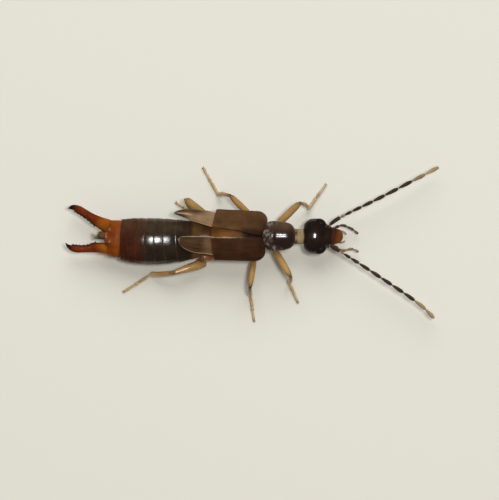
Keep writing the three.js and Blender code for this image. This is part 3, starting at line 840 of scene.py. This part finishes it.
def tegmen_over(side):
    """A wing case: u runs from its rear edge to its front, and v from the middle line to the side."""

    def over(u, v):
        angle = v * pi / 2
        rear = tegmen_rear + tegmen_slant[side] * sin(angle) ** 0.8
        x = rear + (tegmen_front - rear) * u
        past = clamp((x - tegmen_front + tegmen_corner) / tegmen_corner)
        width = tegmen_width * (1 - tegmen_narrowing[side] * (1 - u))
        width -= tegmen_corner * (1 - sqrt(1 - past**2))
        crown = tegmen_crown - 0.2 * past**2
        across = sin(angle) ** 0.8 * width
        high = cos(angle) ** 0.55 * crown
        dip = 0.16 * smooth(0.35, 0.69, x) * (1 - v)
        crease_and_shade = 0.006 * bell(v, 0.5, 0.05) * smooth(0.05, 0.3, u)
        ripple = 0.006 * cloud(x * 5, across * 5, side)
        closing = 0.09 * smooth(0.4, 0.78, u) * (1 - smooth(0.92, 1, u)) * (1 - v) ** 4 if side > 0 else 0
        wave = 0.03 * cloud(x * 2.2, 0, 7) * (1 - smooth(0.4, 0.7, u)) * (1 - v) ** 5 if side < 0 else 0
        return Vector((x, side * across - closing + wave, tegmen_edge_z + high - dip - crease_and_shade + ripple))

    if side < 0:
        return lambda u, v: over(u, v) + right_shift
    pivot = Vector((tegmen_front, 0, tegmen_edge_z))
    turn = Matrix.Rotation(left_yaw, 3, "Z") @ Matrix.Rotation(left_roll, 3, "X")
    return lambda u, v: turn @ (over(u, v) - pivot) + pivot


def tegmen_tint(side):
    brown = (0.085, 0.04, 0.016) if side > 0 else (0.043, 0.016, 0.0065)
    light = (0.13, 0.068, 0.03)

    def tint(u, v, p):
        streaks = cloud(p.x * 1.6, p.y * 9, side * 4)
        tone = mix(brown, light, clamp(0.15 + 0.4 * streaks) * (0.6 if side > 0 else 0.25))
        # Painted shade: darker towards the front and the inner edge, in the hollow where the wing cases dip
        # down.
        tone = mix(tone, (0.035, 0.014, 0.007), 0.55 * smooth(0.5, 0.9, u) * (1 - smooth(0.2, 0.6, v)))
        tone = mix(tone, light, 0.35 * bell(v, 1.0, 0.1) + 0.3 * bell(u, 0.0, 0.015))
        if side > 0:
            inner_edge = (1 - smooth(0.0, 0.1, v)) * (1 - smooth(0.35, 0.5, u))
            tone = mix(tone, (0.15, 0.066, 0.024), 0.6 * inner_edge)
            # Painted shade in the hollow along the front of the inner edge, in the gap between the two wing
            # cases.
            crease_and_shade = smooth(0.48, 0.62, u) * (1 - smooth(0.02, 0.16, v))
            tone = mix(tone, (0.018, 0.008, 0.005), 0.85 * crease_and_shade)
        if side < 0:
            rim = bell(v, 0.0, 0.014) * (1 - smooth(0.35, 0.68, u)) * clamp(0.7 + cloud(p.x * 5, 0, 3))
            tone = mix(tone, (0.45, 0.31, 0.19), clamp(rim * 1.2))
        return tone

    return tint


for side, name in both_sides:
    shares = (crowded(110), even(100))
    case = shell(Shape(), tegmen_over(side), plain(0.055), shares, tegmen_tint(side), rim=0.04)
    piece(f"wing_case_{name}", case, "tegmen", "tegmen", f"tegmen_{name}")

# Hind wings, folded: the leathery tips that show behind the wing cases
wing_veins = (0.22, 0.44, 0.67, 0.86)
wing_tan, wing_olive, wing_brown = (0.27, 0.168, 0.088), (0.06, 0.029, 0.011), (0.035, 0.018, 0.009)
wing_base, wing_border = (0.17, 0.095, 0.042), (0.5, 0.38, 0.25)


def dark_rim(tone, v):
    return mix(tone, wing_brown, 0.8 * (1 - smooth(0.0, 0.02, min(v, 1 - v))))


def right_wing_tint(u, v, p):
    """Olive brown with a pale border."""
    streaks = cloud(p.x * 2, v * 8, 2)
    tone = mix(wing_olive, wing_base, 0.8 * smooth(-2.2, -1.75, p.x) + 0.15 * streaks)
    tone = mix(tone, wing_brown, 0.6 * bell(v, 0.1, 0.09) * clamp(0.5 + streaks))
    edge = max(bell(v, 0.035, 0.028), bell(v, 0.96, 0.035), bell(u, 0.03, 0.03) * 0.4)
    return dark_rim(mix(tone, wing_border, clamp(edge * 0.75)), v)


def left_wing_tint(u, v, p):
    """Tan, with a dark upper band, a dark tip and a pale line out of it."""
    streaks = cloud(p.x * 2, v * 8, 2)
    upper = bell(v, 0.82, 0.22) * (1 - smooth(0.5, 0.85, u))
    lower = bell(v, 0.2, 0.24) * (1 - smooth(0.2, 0.4, u))
    fold = bell(v, 0.68, 0.08) * smooth(0.3, 0.45, u) * (1 - smooth(0.6, 0.8, u)) * 0.6
    tone = mix(wing_tan, wing_olive, clamp(max(1 - smooth(0.0, 0.3, u), 0.15 * streaks)))
    tone = mix(tone, wing_brown, clamp(max(upper, lower, fold)) * 0.85)
    line = bell(v, 0.5, 0.07) * (1 - smooth(0.28, 0.45, u))
    edge = max(0.7 * bell(v, 0.04, 0.035), 0.5 * bell(v, 0.96, 0.035) * smooth(0.4, 0.7, u))
    return dark_rim(mix(tone, wing_border, clamp(max(0.8 * line, edge))), v)


def wing_thickness(u, v):
    """Thin at the tip, and as thick as all the folds together at the root."""
    return min(0.26, 0.07 + 0.35 * u)


def wing_piece(name, tint, tip, root, inner, outer, heights):
    """inner and outer are the two edges from tip to root, and heights those of the tip and the root."""

    def over(u, v):
        near, far = inner(u), outer(u)
        crown = 0.07 * sin(pi * v) - 0.12 * v * u
        ridges = sum(bell(v, place, 0.03) for place in wing_veins) * 0.006 * smooth(0, 0.2, u)
        dip = 0.12 * smooth(0.82, 1.0, u)
        z = heights[0] + (heights[1] - heights[0]) * u + crown + ridges - dip
        return Vector((tip + (root - tip) * u, near + (far - near) * v, z))

    fold = shell(Shape(), over, wing_thickness, (crowded(90), crowded(70)), tint, rim=0.06)
    piece(f"folded_wing_{name}", fold, "wing", "wing", f"wing_{name}")


wing_piece(
    "right", right_wing_tint, tip=-3.13, root=-1.55, inner=through((0, -0.1), (0.15, 0), (1, 0)),
    outer=through((0, -0.2), (0.06, -0.38), (0.18, -0.56), (0.45, -0.74), (0.75, -0.8), (1, -0.86)),
    heights=(1.5, 1.58),
)
wing_piece(
    "left", left_wing_tint, tip=-3.28, root=-1.3,
    inner=through((0, 0.97), (0.05, 0.91), (0.25, 0.75), (0.45, 0.6), (0.8, 0.38), (1, 0.3)),
    outer=through((0, 0.99), (0.05, 1.08), (0.2, 1.16), (0.5, 1.18), (0.8, 1.1), (1, 0.98)),
    heights=(1.42, 1.56),
)

# Abdomen: a soft core with hard plates over it, each plate lapping over the next
tergite_lengths = [0.31, 0.52, 0.52, 0.52, 0.43, 0.39, 0.39, 0.34, 0.24, 0.19]
abdomen_rear = abdomen_front - sum(tergite_lengths)
abdomen_middle = through(
    (abdomen_rear, -0.15), (-4.5, -0.22), (-3.2, -0.21), (-2.2, -0.14), (abdomen_front, -0.06)
)
abdomen_half = through(
    (abdomen_rear, 0.87), (-5, 0.97), (-4.1, 1), (-3.2, 0.93), (-2.5, 0.81), (-2.1, 0.72),
    (abdomen_front, 0.66),
)
abdomen_rise = through(
    (abdomen_rear, 0.86), (-4.4, 1), (-3.5, 0.88), (-2.9, 0.68), (-2.2, 0.5), (abdomen_front, 0.46)
)
abdomen_drop = through((abdomen_rear, 0.84), (-4.2, 1), (-3, 0.94), (abdomen_front, 0.8))
abdomen_z = 0.88
abdomen_square = 2.1
abdomen_gloss = through(
    (-5.6, 0.12), (-4.9, 0.22), (-4.5, 1), (-3.3, 1), (-2.9, 0.4), (-2.4, 0.2), (-1.7, 0.15)
)


def abdomen_point(x, angle, lift):
    """A point of a ring round the abdomen, square to its bent middle line."""
    across = signed_power(cos(angle), 2 / abdomen_square) * (abdomen_half(x) * 0.95 + lift)
    tall = abdomen_rise(x) * 0.52 if sin(angle) > 0 else abdomen_drop(x) * 0.5
    high = signed_power(sin(angle), 2 / abdomen_square) * (tall + lift)
    slope = (abdomen_middle(x + 0.1) - abdomen_middle(x - 0.1)) / 0.2
    return Vector((x - slope * across, abdomen_middle(x) + across, abdomen_z + high))


def abdomen_tone(p):
    """Olive black in front, maroon brown behind, with brown flecks along the sides, and painted light
    making the +Y side lighter.
    """
    back = 1 - smooth(-4.95, -4.3, p.x)
    tone = mix((0.02, 0.0135, 0.0075), (0.055, 0.014, 0.007), back)
    flecks = cloud(p.x * 3, p.y * 3, p.z * 3)
    tone = mix(tone, (0.05, 0.03, 0.013), clamp(0.2 + 0.5 * flecks) * 0.35)
    # Painted light: the +Y side is made lighter, as if lit by the light on that side.
    tone = mix(tone, (0.085, 0.052, 0.026), 0.3 * smooth(0.1, 0.6, p.y - abdomen_middle(p.x)))
    return mix(tone, (0.12, 0.055, 0.02), smooth(-2.6, -2.4, p.x) * 0.9)


def belly_tone(p):
    return mix(abdomen_tone(p), (0.16, 0.075, 0.035), 0.55)


def plates(shape, start, end, lap, tone_at):
    """Ten plates over part of the round, from one angle to another, each lapping over the next."""
    x = abdomen_front
    for k, length in enumerate(tergite_lengths):
        last = k == len(tergite_lengths) - 1

        def over(u, v, x=x, length=length, last=last):
            angle = start + (end - start) * v
            place = x - length * u * (1.0 if last else lap)
            crown = 0.012 + 0.03 * u + 0.008 * sin(pi * u)
            bow = (0.03 if last else 0.12) * abs(sin(angle)) * (1 - (2 * v - 1) ** 2) * u
            return abdomen_point(place - bow, angle, crown)

        def tint(u, v, p):
            return (*mix(tone_at(p), (0.16, 0.1, 0.05), bell(u, 0.97, 0.045) * 0.12), abdomen_gloss(p.x))

        shell(shape, over, plain(0.03), (crowded(16), even(84)), tint, rim=0.06)
        x -= length


def core_measure(curve, scale):
    """A measure of the core, which keeps its front size where it reaches into the thorax."""
    return lambda x: curve(min(x, abdomen_front)) * scale


core = body(
    crowded(60), (abdomen_front + 0.12, abdomen_rear + 0.01), plain((0.16, 0.08, 0.04, 0.3)),
    half=(core_measure(abdomen_half, 0.95), 0.03, 0.01),
    rise=(core_measure(abdomen_rise, 0.52), 0.03, 0.01),
    drop=(core_measure(abdomen_drop, 0.5), 0.03, 0.01), y=core_measure(abdomen_middle, 1), z=abdomen_z,
    square=abdomen_square, sides=84,
)
plates(core, radians(188), radians(352), 1.1, belly_tone)
plates(core, radians(-14), radians(194), 1.12, abdomen_tone)
piece("abdomen_plates", core, "abdomen", "black_cuticle", "abdomen")


def abdomen_hairs():
    """Short hairs round each plate, most of them at its rear edge and fewer on top."""
    x = abdomen_front
    for k, length in enumerate(tergite_lengths):
        x -= length
        for _ in range(48):
            angle = random.uniform(0, 2 * pi)
            near_edge = random.random() < 0.6
            place = x + (0.015 if near_edge else random.uniform(0.05, length * 0.9))
            if sin(angle) > 0.5 and (k < 3 or not near_edge):
                continue
            root = abdomen_point(max(place, abdomen_rear + 0.01), angle, 0.03)
            out = (root - Vector((place, abdomen_middle(place), abdomen_z))).normalized()
            size = random.uniform(0.06, 0.13)
            hair(setae, root, backward + out * 0.45, size, hair_radius, brown_hair_tone, bend=up * -0.3)


abdomen_hairs()

# Last plate, with two bumps over the roots of the forceps
last_front = abdomen_rear + 0.02
last_rear = abdomen_rear - 0.72
last_half = through((last_rear, 0.74), (last_front - 0.3, 0.79), (last_front, 0.79))
last_rise = through((last_rear, 0.32), (last_front - 0.3, 0.44), (last_front, 0.39))
last_drop = through((last_rear, 0.32), (last_front, 0.4))
last_middle = through((last_rear, -0.06), (last_front, -0.14))
knobs_x, knobs_y = last_rear + 0.2, (-0.25, 0.29)
nubs_x, nubs_y = last_rear + 0.06, (-0.02, 0.1)


def last_relief(p, share):
    """A slanting front edge, cut back corners behind, and two knobs and two nubs on top."""
    beside = p.y - last_middle(p.x)
    p = p + Vector((0.15 * beside * (1 - 0.5 * share), 0, 0))
    corner = smooth(0.16, 0.42, abs(beside)) * (1 - smooth(last_rear, last_rear + 0.4, p.x))
    p = p + Vector((0.14 * corner, 0, 0))
    if p.z < abdomen_z:
        return p
    knobs = sum(bell(p.x, knobs_x, 0.075) * bell(p.y, y, 0.075) for y in knobs_y)
    nubs = sum(bell(p.x, nubs_x, 0.05) * bell(p.y, y, 0.045) for y in nubs_y)
    furrow = bell(p.y, 0.02, 0.05) * smooth(last_front - 0.1, last_rear, p.x)
    hollow = bell(p.x, last_rear + 0.12, 0.14) * bell(p.y, 0.02, 0.16)
    return p + Vector((0, 0, 0.1 * knobs + 0.06 * nubs - 0.02 * furrow - 0.05 * hollow))


def last_tint(share, angle, p):
    tone = mix((0.25, 0.062, 0.006), (0.2, 0.042, 0.004), 0.5 + 0.5 * cloud(p.x * 3, p.y * 3, 9))
    tone = mix(tone, (0.16, 0.038, 0.01), bell(p.y, 0.02, 0.3) * 0.6)
    tone = mix(tone, (0.05, 0.016, 0.006), 0.7 * smooth(0.93, 1.0, share))
    tone = mix((0.1, 0.028, 0.008), tone, smooth(0.06, 0.2, share))
    tops = [(knobs_x + 0.02, y) for y in knobs_y] + [(nubs_x, y) for y in nubs_y]
    # Painted pinkish highlights on the tops of the knobs and nubs.
    shine = sum(bell(hypot(p.x - x, p.y - y), 0, 0.045) for x, y in tops) if p.z > abdomen_z else 0
    tone = mix(tone, (0.5, 0.26, 0.18), clamp(shine) * 0.7)
    return mix(tone, (0.12, 0.035, 0.01), (1 - smooth(0.6, 0.9, p.z)) * 0.4)


last_plate = body(
    crowded(70), (last_front + 0.06, last_rear), last_tint, half=(last_half, 0.05, 0.07),
    rise=(last_rise, 0.05, 0.1), drop=(last_drop, 0.05, 0.1), y=last_middle, z=abdomen_z, square=2.5,
    sides=110, relief=last_relief,
)
piece("last_plate", last_plate, "amber", "amber_cuticle", "last_tergite")

# Forceps
tooth_count, first_tooth, tooth_step = 19, 0.32, 0.0285
tooth_stations = [(0, 0.045), (0.6, 0.034), (1, 0.01)]


def forceps_tint(tube, inward):
    """Amber at the root, red brown further on and black at the tip and along the inner edge."""

    def tint(share, angle, p):
        tone = mix((0.28, 0.075, 0.004), (0.15, 0.024, 0.005), smooth(0.14, 0.4, share))
        tone = mix(tone, (0.01, 0.005, 0.004), smooth(0.76, 0.93, share))
        side = (p - tube.at(share)).normalized().y * inward
        return mix(tone, horn_black, smooth(0.7, 0.97, side) * 0.85)

    return tint


def tooth(shape, tube, inward, share, length):
    across = tube.along(share).cross(up).normalized()
    across *= 1 if across.y * inward > 0 else -1
    edge = tube.at(share) + across * tube.radius(share)
    line = [edge - across * 0.05, edge, edge + across * length]
    Tube(line, tooth_stations).skin(shape, plain(horn_black), rows=8, sides=10, ends=(0.01, 0.1))


def forceps_piece(name, inward, line, radii):
    horn = Shape()
    tube = Tube(line, radii, flat=0.82)
    tube.skin(horn, forceps_tint(tube, inward), rows=70, sides=36, ends=(0.02, 0.01))
    for k in range(tooth_count):
        tooth(horn, tube, inward, first_tooth + tooth_step * k, 0.045 if k % 3 else 0.07)
    bristles(tube, 60, 0.12, lean=0.5, end=0.8, tone=amber_hair_tone)
    piece(f"forceps_{name}_horn", horn, "amber", "amber_cuticle", f"forceps_{name}")


forceps_piece(
    "left", inward=-1,
    line=[
        (-6.0, 0.36, 0.87), (-6.19, 0.445, 0.87), (-6.46, 0.575, 0.88), (-6.765, 0.756, 0.88),
        (-7.06, 0.948, 0.87), (-7.36, 1.136, 0.85), (-7.59, 1.227, 0.84), (-7.754, 1.227, 0.84),
        (-7.854, 1.179, 0.84),
    ],
    radii=[
        (0, 0.31), (0.1, 0.295), (0.244, 0.254), (0.413, 0.19), (0.581, 0.161), (0.75, 0.154),
        (0.868, 0.125), (0.947, 0.076), (1, 0.012),
    ],
)
forceps_piece(
    "right", inward=1,
    line=[
        (-6.0, -0.55, 0.87), (-6.22, -0.54, 0.87), (-6.61, -0.501, 0.88), (-6.97, -0.557, 0.87),
        (-7.28, -0.572, 0.86), (-7.47, -0.57, 0.85), (-7.68, -0.527, 0.84), (-7.85, -0.44, 0.84),
        (-7.975, -0.302, 0.84),
    ],
    radii=[
        (0, 0.26), (0.106, 0.238), (0.295, 0.216), (0.4, 0.184), (0.472, 0.15), (0.622, 0.145),
        (0.714, 0.15), (0.818, 0.13), (0.91, 0.078), (1, 0.012),
    ],
)

# Tail lobe: a short stump between the forceps, with two soft tips
stump = [(last_rear + 0.1, 0.03, 0.87), (last_rear - 0.08, 0.03, 0.87), (-6.6, 0.02, 0.86)]
left_tip = [(-6.5, 0.07, 0.89), (-6.62, 0.08, 0.89), (-6.77, 0.08, 0.87)]
right_tip = [(-6.46, -0.05, 0.86), (-6.62, -0.075, 0.86), (-6.77, -0.07, 0.85)]
tail = Shape()


def tail_part(line, stations, near, far):
    Tube(line, stations, flat=0.75).skin(tail, fade(near, far, 0.2, 0.8), sides=24)


tail_part(stump, [(0, 0.18), (0.5, 0.18), (1, 0.15)], (0.14, 0.05, 0.02), (0.07, 0.055, 0.036))
tail_part(left_tip, [(0, 0.1), (0.6, 0.085), (1, 0.04)], (0.3, 0.24, 0.14), (0.6, 0.54, 0.38))
tail_part(right_tip, [(0, 0.08), (0.5, 0.055), (1, 0.03)], (0.12, 0.1, 0.06), (0.16, 0.17, 0.1))
piece("tail_lobe", tail, "amber", "amber_cuticle", "pygidium")

# Legs: coxa, femur, tibia, a foot of three joints and two claws
foot_radius, toe_z = 0.066, 0.05
slim_femur = [(0, 0.6), (0.15, 0.86), (0.42, 1), (0.72, 0.96), (0.9, 0.8), (1, 0.62)]
long_femur = [(0, 0.8), (0.2, 1.05), (0.5, 0.92), (0.8, 0.68), (0.93, 0.58), (1, 0.52)]
blunt_femur = [(0, 0.7), (0.2, 0.95), (0.5, 1.02), (0.82, 1), (0.95, 0.85), (1, 0.7)]
tibia_stations = [(0, 0.085), (0.1, 0.07), (0.3, 0.078), (0.75, 0.085), (0.95, 0.092), (1, 0.08)]


def straw_tint(start, end):
    """From one tone to another along a part, with paler clouds."""

    def tint(share, angle, p):
        return layered(start, (end, smooth(0.0, 1.0, share)), (pale_straw, 0.25 * noise.noise(p * 4)))

    return tint


def femur_tint(knee_tone):
    """Browner at the hip and the knee, with painted shade darker along both sides and a painted highlight
    lighter along the top.
    """

    def tint(share, angle, p):
        return layered(
            (0.26, 0.13, 0.045),
            (straw, smooth(0.0, 0.3, share)),
            # Painted highlight along the top, then painted shade along both sides.
            ((0.5, 0.32, 0.12), 0.4 * smooth(0.5, 1.0, sin(angle))),
            ((0.2, 0.1, 0.028), 0.5 * smooth(0.7, 1.0, abs(cos(angle)))),
            (knee_tone, smooth(0.86, 1.0, share) * 0.7),
        )

    return tint


def tibia_tint(knee_tone):
    def tint(share, angle, p):
        return layered(knee_tone, (straw, smooth(0.05, 0.35, share)), (pale_straw, smooth(0.4, 1.0, share)))

    return tint


def foot(shape, ankle, toe):
    first, second = ankle.lerp(toe, 0.46), ankle.lerp(toe, 0.6)
    first.z = second.z = foot_radius
    arch = ankle.lerp(first, 0.4) - up * 0.015
    joints = [
        ([ankle, arch, first], [(0, 0.06), (0.4, 0.063), (0.9, 0.066), (1, 0.058)]),
        ([first, first.lerp(second, 0.5), second], [(0, 0.056), (0.6, 0.066), (1, 0.055)]),
        ([second, second.lerp(toe, 0.5), toe], [(0, 0.05), (0.5, 0.052), (0.9, 0.052), (1, 0.04)]),
    ]
    tint = straw_tint(pale_straw, mix(pale_straw, straw, 0.5))
    for line, stations in joints:
        part = Tube(line, stations)
        part.skin(shape, tint, rows=18, sides=16, ends=(0.08, 0.08))
        bristles(part, 26, 0.075)
    along = (toe - second).normalized()
    aside = along.cross(up).normalized()
    claw(shape, toe, along, aside)
    claw(shape, toe, along, -aside)


def claw(shape, toe, along, aside):
    root = toe - along * 0.03 + aside * 0.018
    bend = root + along * 0.06 + aside * 0.02 + up * 0.01
    tip = root + along * 0.1 + aside * 0.024 - up * 0.03
    tube = Tube([root, bend, tip], [(0, 0.02), (0.6, 0.013), (1, 0.004)])
    tube.skin(shape, plain((0.14, 0.08, 0.03)), rows=10, sides=8)


def leg_piece(
    name, femur_radius, hip, knee, ankle, toe, femur_form=slim_femur, knee_tone=knee_brown,
    tibia_width=1.0, coxa_x=0.04, coxa_turn=None, coxa_tone=(0.17, 0.075, 0.028),
):
    """The coxa starts coxa_x in front of the hip and passes through coxa_turn."""
    shape = Shape()
    hip, knee, ankle, toe = Vector(hip), Vector(knee), Vector(ankle), Vector((*toe, toe_z))
    inward = -copysign(1, hip.y)
    root = hip + Vector((coxa_x, inward * 0.22, 0.05))
    coxa = Tube([root, coxa_turn or hip, hip.lerp(knee, 0.08)], [(0, 0.17), (0.5, 0.2), (1, 0.13)])
    coxa.skin(shape, straw_tint(coxa_tone, (0.24, 0.12, 0.045)), rows=16, ends=(0.1, 0.2))
    start = hip.lerp(knee, 0.04)
    femur_stations = [(share, femur_radius * r) for share, r in femur_form]
    femur = Tube([start, start.lerp(knee, 0.5) + up * 0.03, knee], femur_stations, flat=0.85)
    femur.skin(shape, femur_tint(knee_tone), rows=36, sides=26, ends=(0.04, 0.05))
    top = knee - (ankle - knee).normalized() * 0.02
    bow = knee.lerp(ankle, 0.5) + (knee - hip).normalized() * 0.06
    tibia = Tube([top, bow, ankle], [(share, r * tibia_width) for share, r in tibia_stations])
    tibia.skin(shape, tibia_tint(knee_tone), rows=30, ends=(0.05, 0.05))
    foot(shape, ankle, toe)
    bristles(femur, 40, 0.09)
    bristles(tibia, 70, 0.1, thick_hair_radius)
    shape.points = [Vector((p.x, p.y, max(p.z, 0.0))) for p in shape.points]
    piece(f"jointed_leg_{name}", shape, "straw", "straw_cuticle", f"leg_{name}")


leg_piece("front_left", 0.162, (0.98, 0.3, 0.66), (2.14, 1.42, 1.18), (2.55, 1.21, 0.13), (3.28, 2.225))
leg_piece("front_right", 0.148, (0.88, -0.3, 0.66), (1.75, -1.75, 1.13), (1.69, -2.03, 0.13), (2.07, -2.87))
leg_piece("middle_left", 0.142, (0.2, 0.7, 0.55), (-0.85, 1.74, 1.13), (-1.38, 1.81, 0.13), (-2.03, 2.94))
leg_piece(
    "middle_right", 0.13, (0.22, -0.66, 0.55), (0, -2.22, 1.13), (0.02, -2.59, 0.13), (0.17, -3.67),
    knee_tone=(0.05, 0.028, 0.014),
)
leg_piece(
    "hind_left", 0.18, (-1.6, 0.62, 0.55), (-2.79, 1.58, 1.08), (-2.46, 0.95, 0.13), (-3.2, 1.45),
    femur_form=blunt_femur, knee_tone=(0.22, 0.11, 0.04),
)
leg_piece(
    "hind_right", 0.19, (-1.85, -1.13, 0.58), (-3.3, -1.59, 0.93), (-4.28, -1.66, 0.13), (-5.49, -2.42),
    femur_form=long_femur, knee_tone=(0.24, 0.13, 0.045), tibia_width=1.3,
    coxa_x=0.25, coxa_turn=(-2.1, -0.94, 0.72), coxa_tone=(0.27, 0.1, 0.035),
)


def last_plate_hairs():
    for _ in range(60):
        angle = random.uniform(0, 2 * pi)
        x = last_front - random.uniform(0.1, 0.95) * (last_front - last_rear)
        out = Vector((0, cos(angle), sin(angle)))
        root = Vector((x, last_middle(x), abdomen_z)) + out * 0.97 * Vector((0, last_half(x), last_rise(x)))
        hair(setae, root, backward + out * 0.7, random.uniform(0.08, 0.16), hair_radius, amber_hair_tone)


last_plate_hairs()
piece("fine_hairs", setae, "hair", "straw_cuticle")

# Floor, light and camera
floor_mesh = bpy.data.meshes.new("floor")
floor_reach = 0.6
corners = [(x * floor_reach, y * floor_reach, 0) for x, y in ((-1, -1), (1, -1), (1, 1), (-1, 1))]
floor_mesh.from_pydata(corners, [], [[0, 1, 2, 3]])
floor_material = bpy.data.materials.new("pale_floor")
floor_material.use_nodes = True
floor_shader = floor_material.node_tree.nodes["Principled BSDF"]
floor_shader.inputs["Base Color"].default_value = (0.8, 0.785, 0.705, 1)
floor_shader.inputs["Roughness"].default_value = 0.75
floor_mesh.materials.append(floor_material)
floor = new_object("floor", floor_mesh)


def lamp(name, place, width, watts, colour=(1, 1, 1), shine=True):
    """A round lamp that shines on the middle of the model. Without shine, it leaves no highlights."""
    data = bpy.data.lights.new(name, "AREA")
    data.shape = "DISK"
    data.size = width
    data.energy = watts
    data.color = colour
    thing = new_object(name, data)
    thing.location = place
    thing.visible_glossy = shine
    thing.rotation_mode = "QUATERNION"
    thing.rotation_quaternion = (-Vector(place)).to_track_quat("-Z", "Y")


soft_distance, soft_height = 0.33, 0.2
lamp("key", (0.03, 0.012, 0.2), 0.036, 0.16)
lamp("side", (0, 0.25, 0.22), 0.3, 0.79, shine=False)
for turn in (-150, -90, -30):
    angle = radians(turn)
    place = (soft_distance * cos(angle), soft_distance * sin(angle), soft_height)
    lamp(f"soft_{turn}", place, 0.4, 0.1, (1.0, 0.84, 0.66), shine=False)
world = bpy.data.worlds.new("studio")
world.use_nodes = True
background = world.node_tree.nodes["Background"].inputs
background["Color"].default_value = (1.0, 0.98, 0.95, 1)
background["Strength"].default_value = 0.1
bpy.context.scene.world = world
bpy.context.scene.view_settings.view_transform = "Standard"

camera_data = bpy.data.cameras.new("camera")
camera = new_object("camera", camera_data)
bpy.context.scene.camera = camera
# The camera looks straight down on a square of 500 pixels, each of them 0.0432 mm
pixel, picture_pixels, sensor_width = 0.0432 * mm, 500, 36
camera_height = 0.25
picture_middle = Vector((-0.0216, -0.605, 1.0))
camera_data.lens = sensor_width * camera_height / (picture_pixels * pixel)
camera_data.clip_start = 0.01
camera_data.clip_end = 10
camera.location = picture_middle * mm + origin + up * camera_height
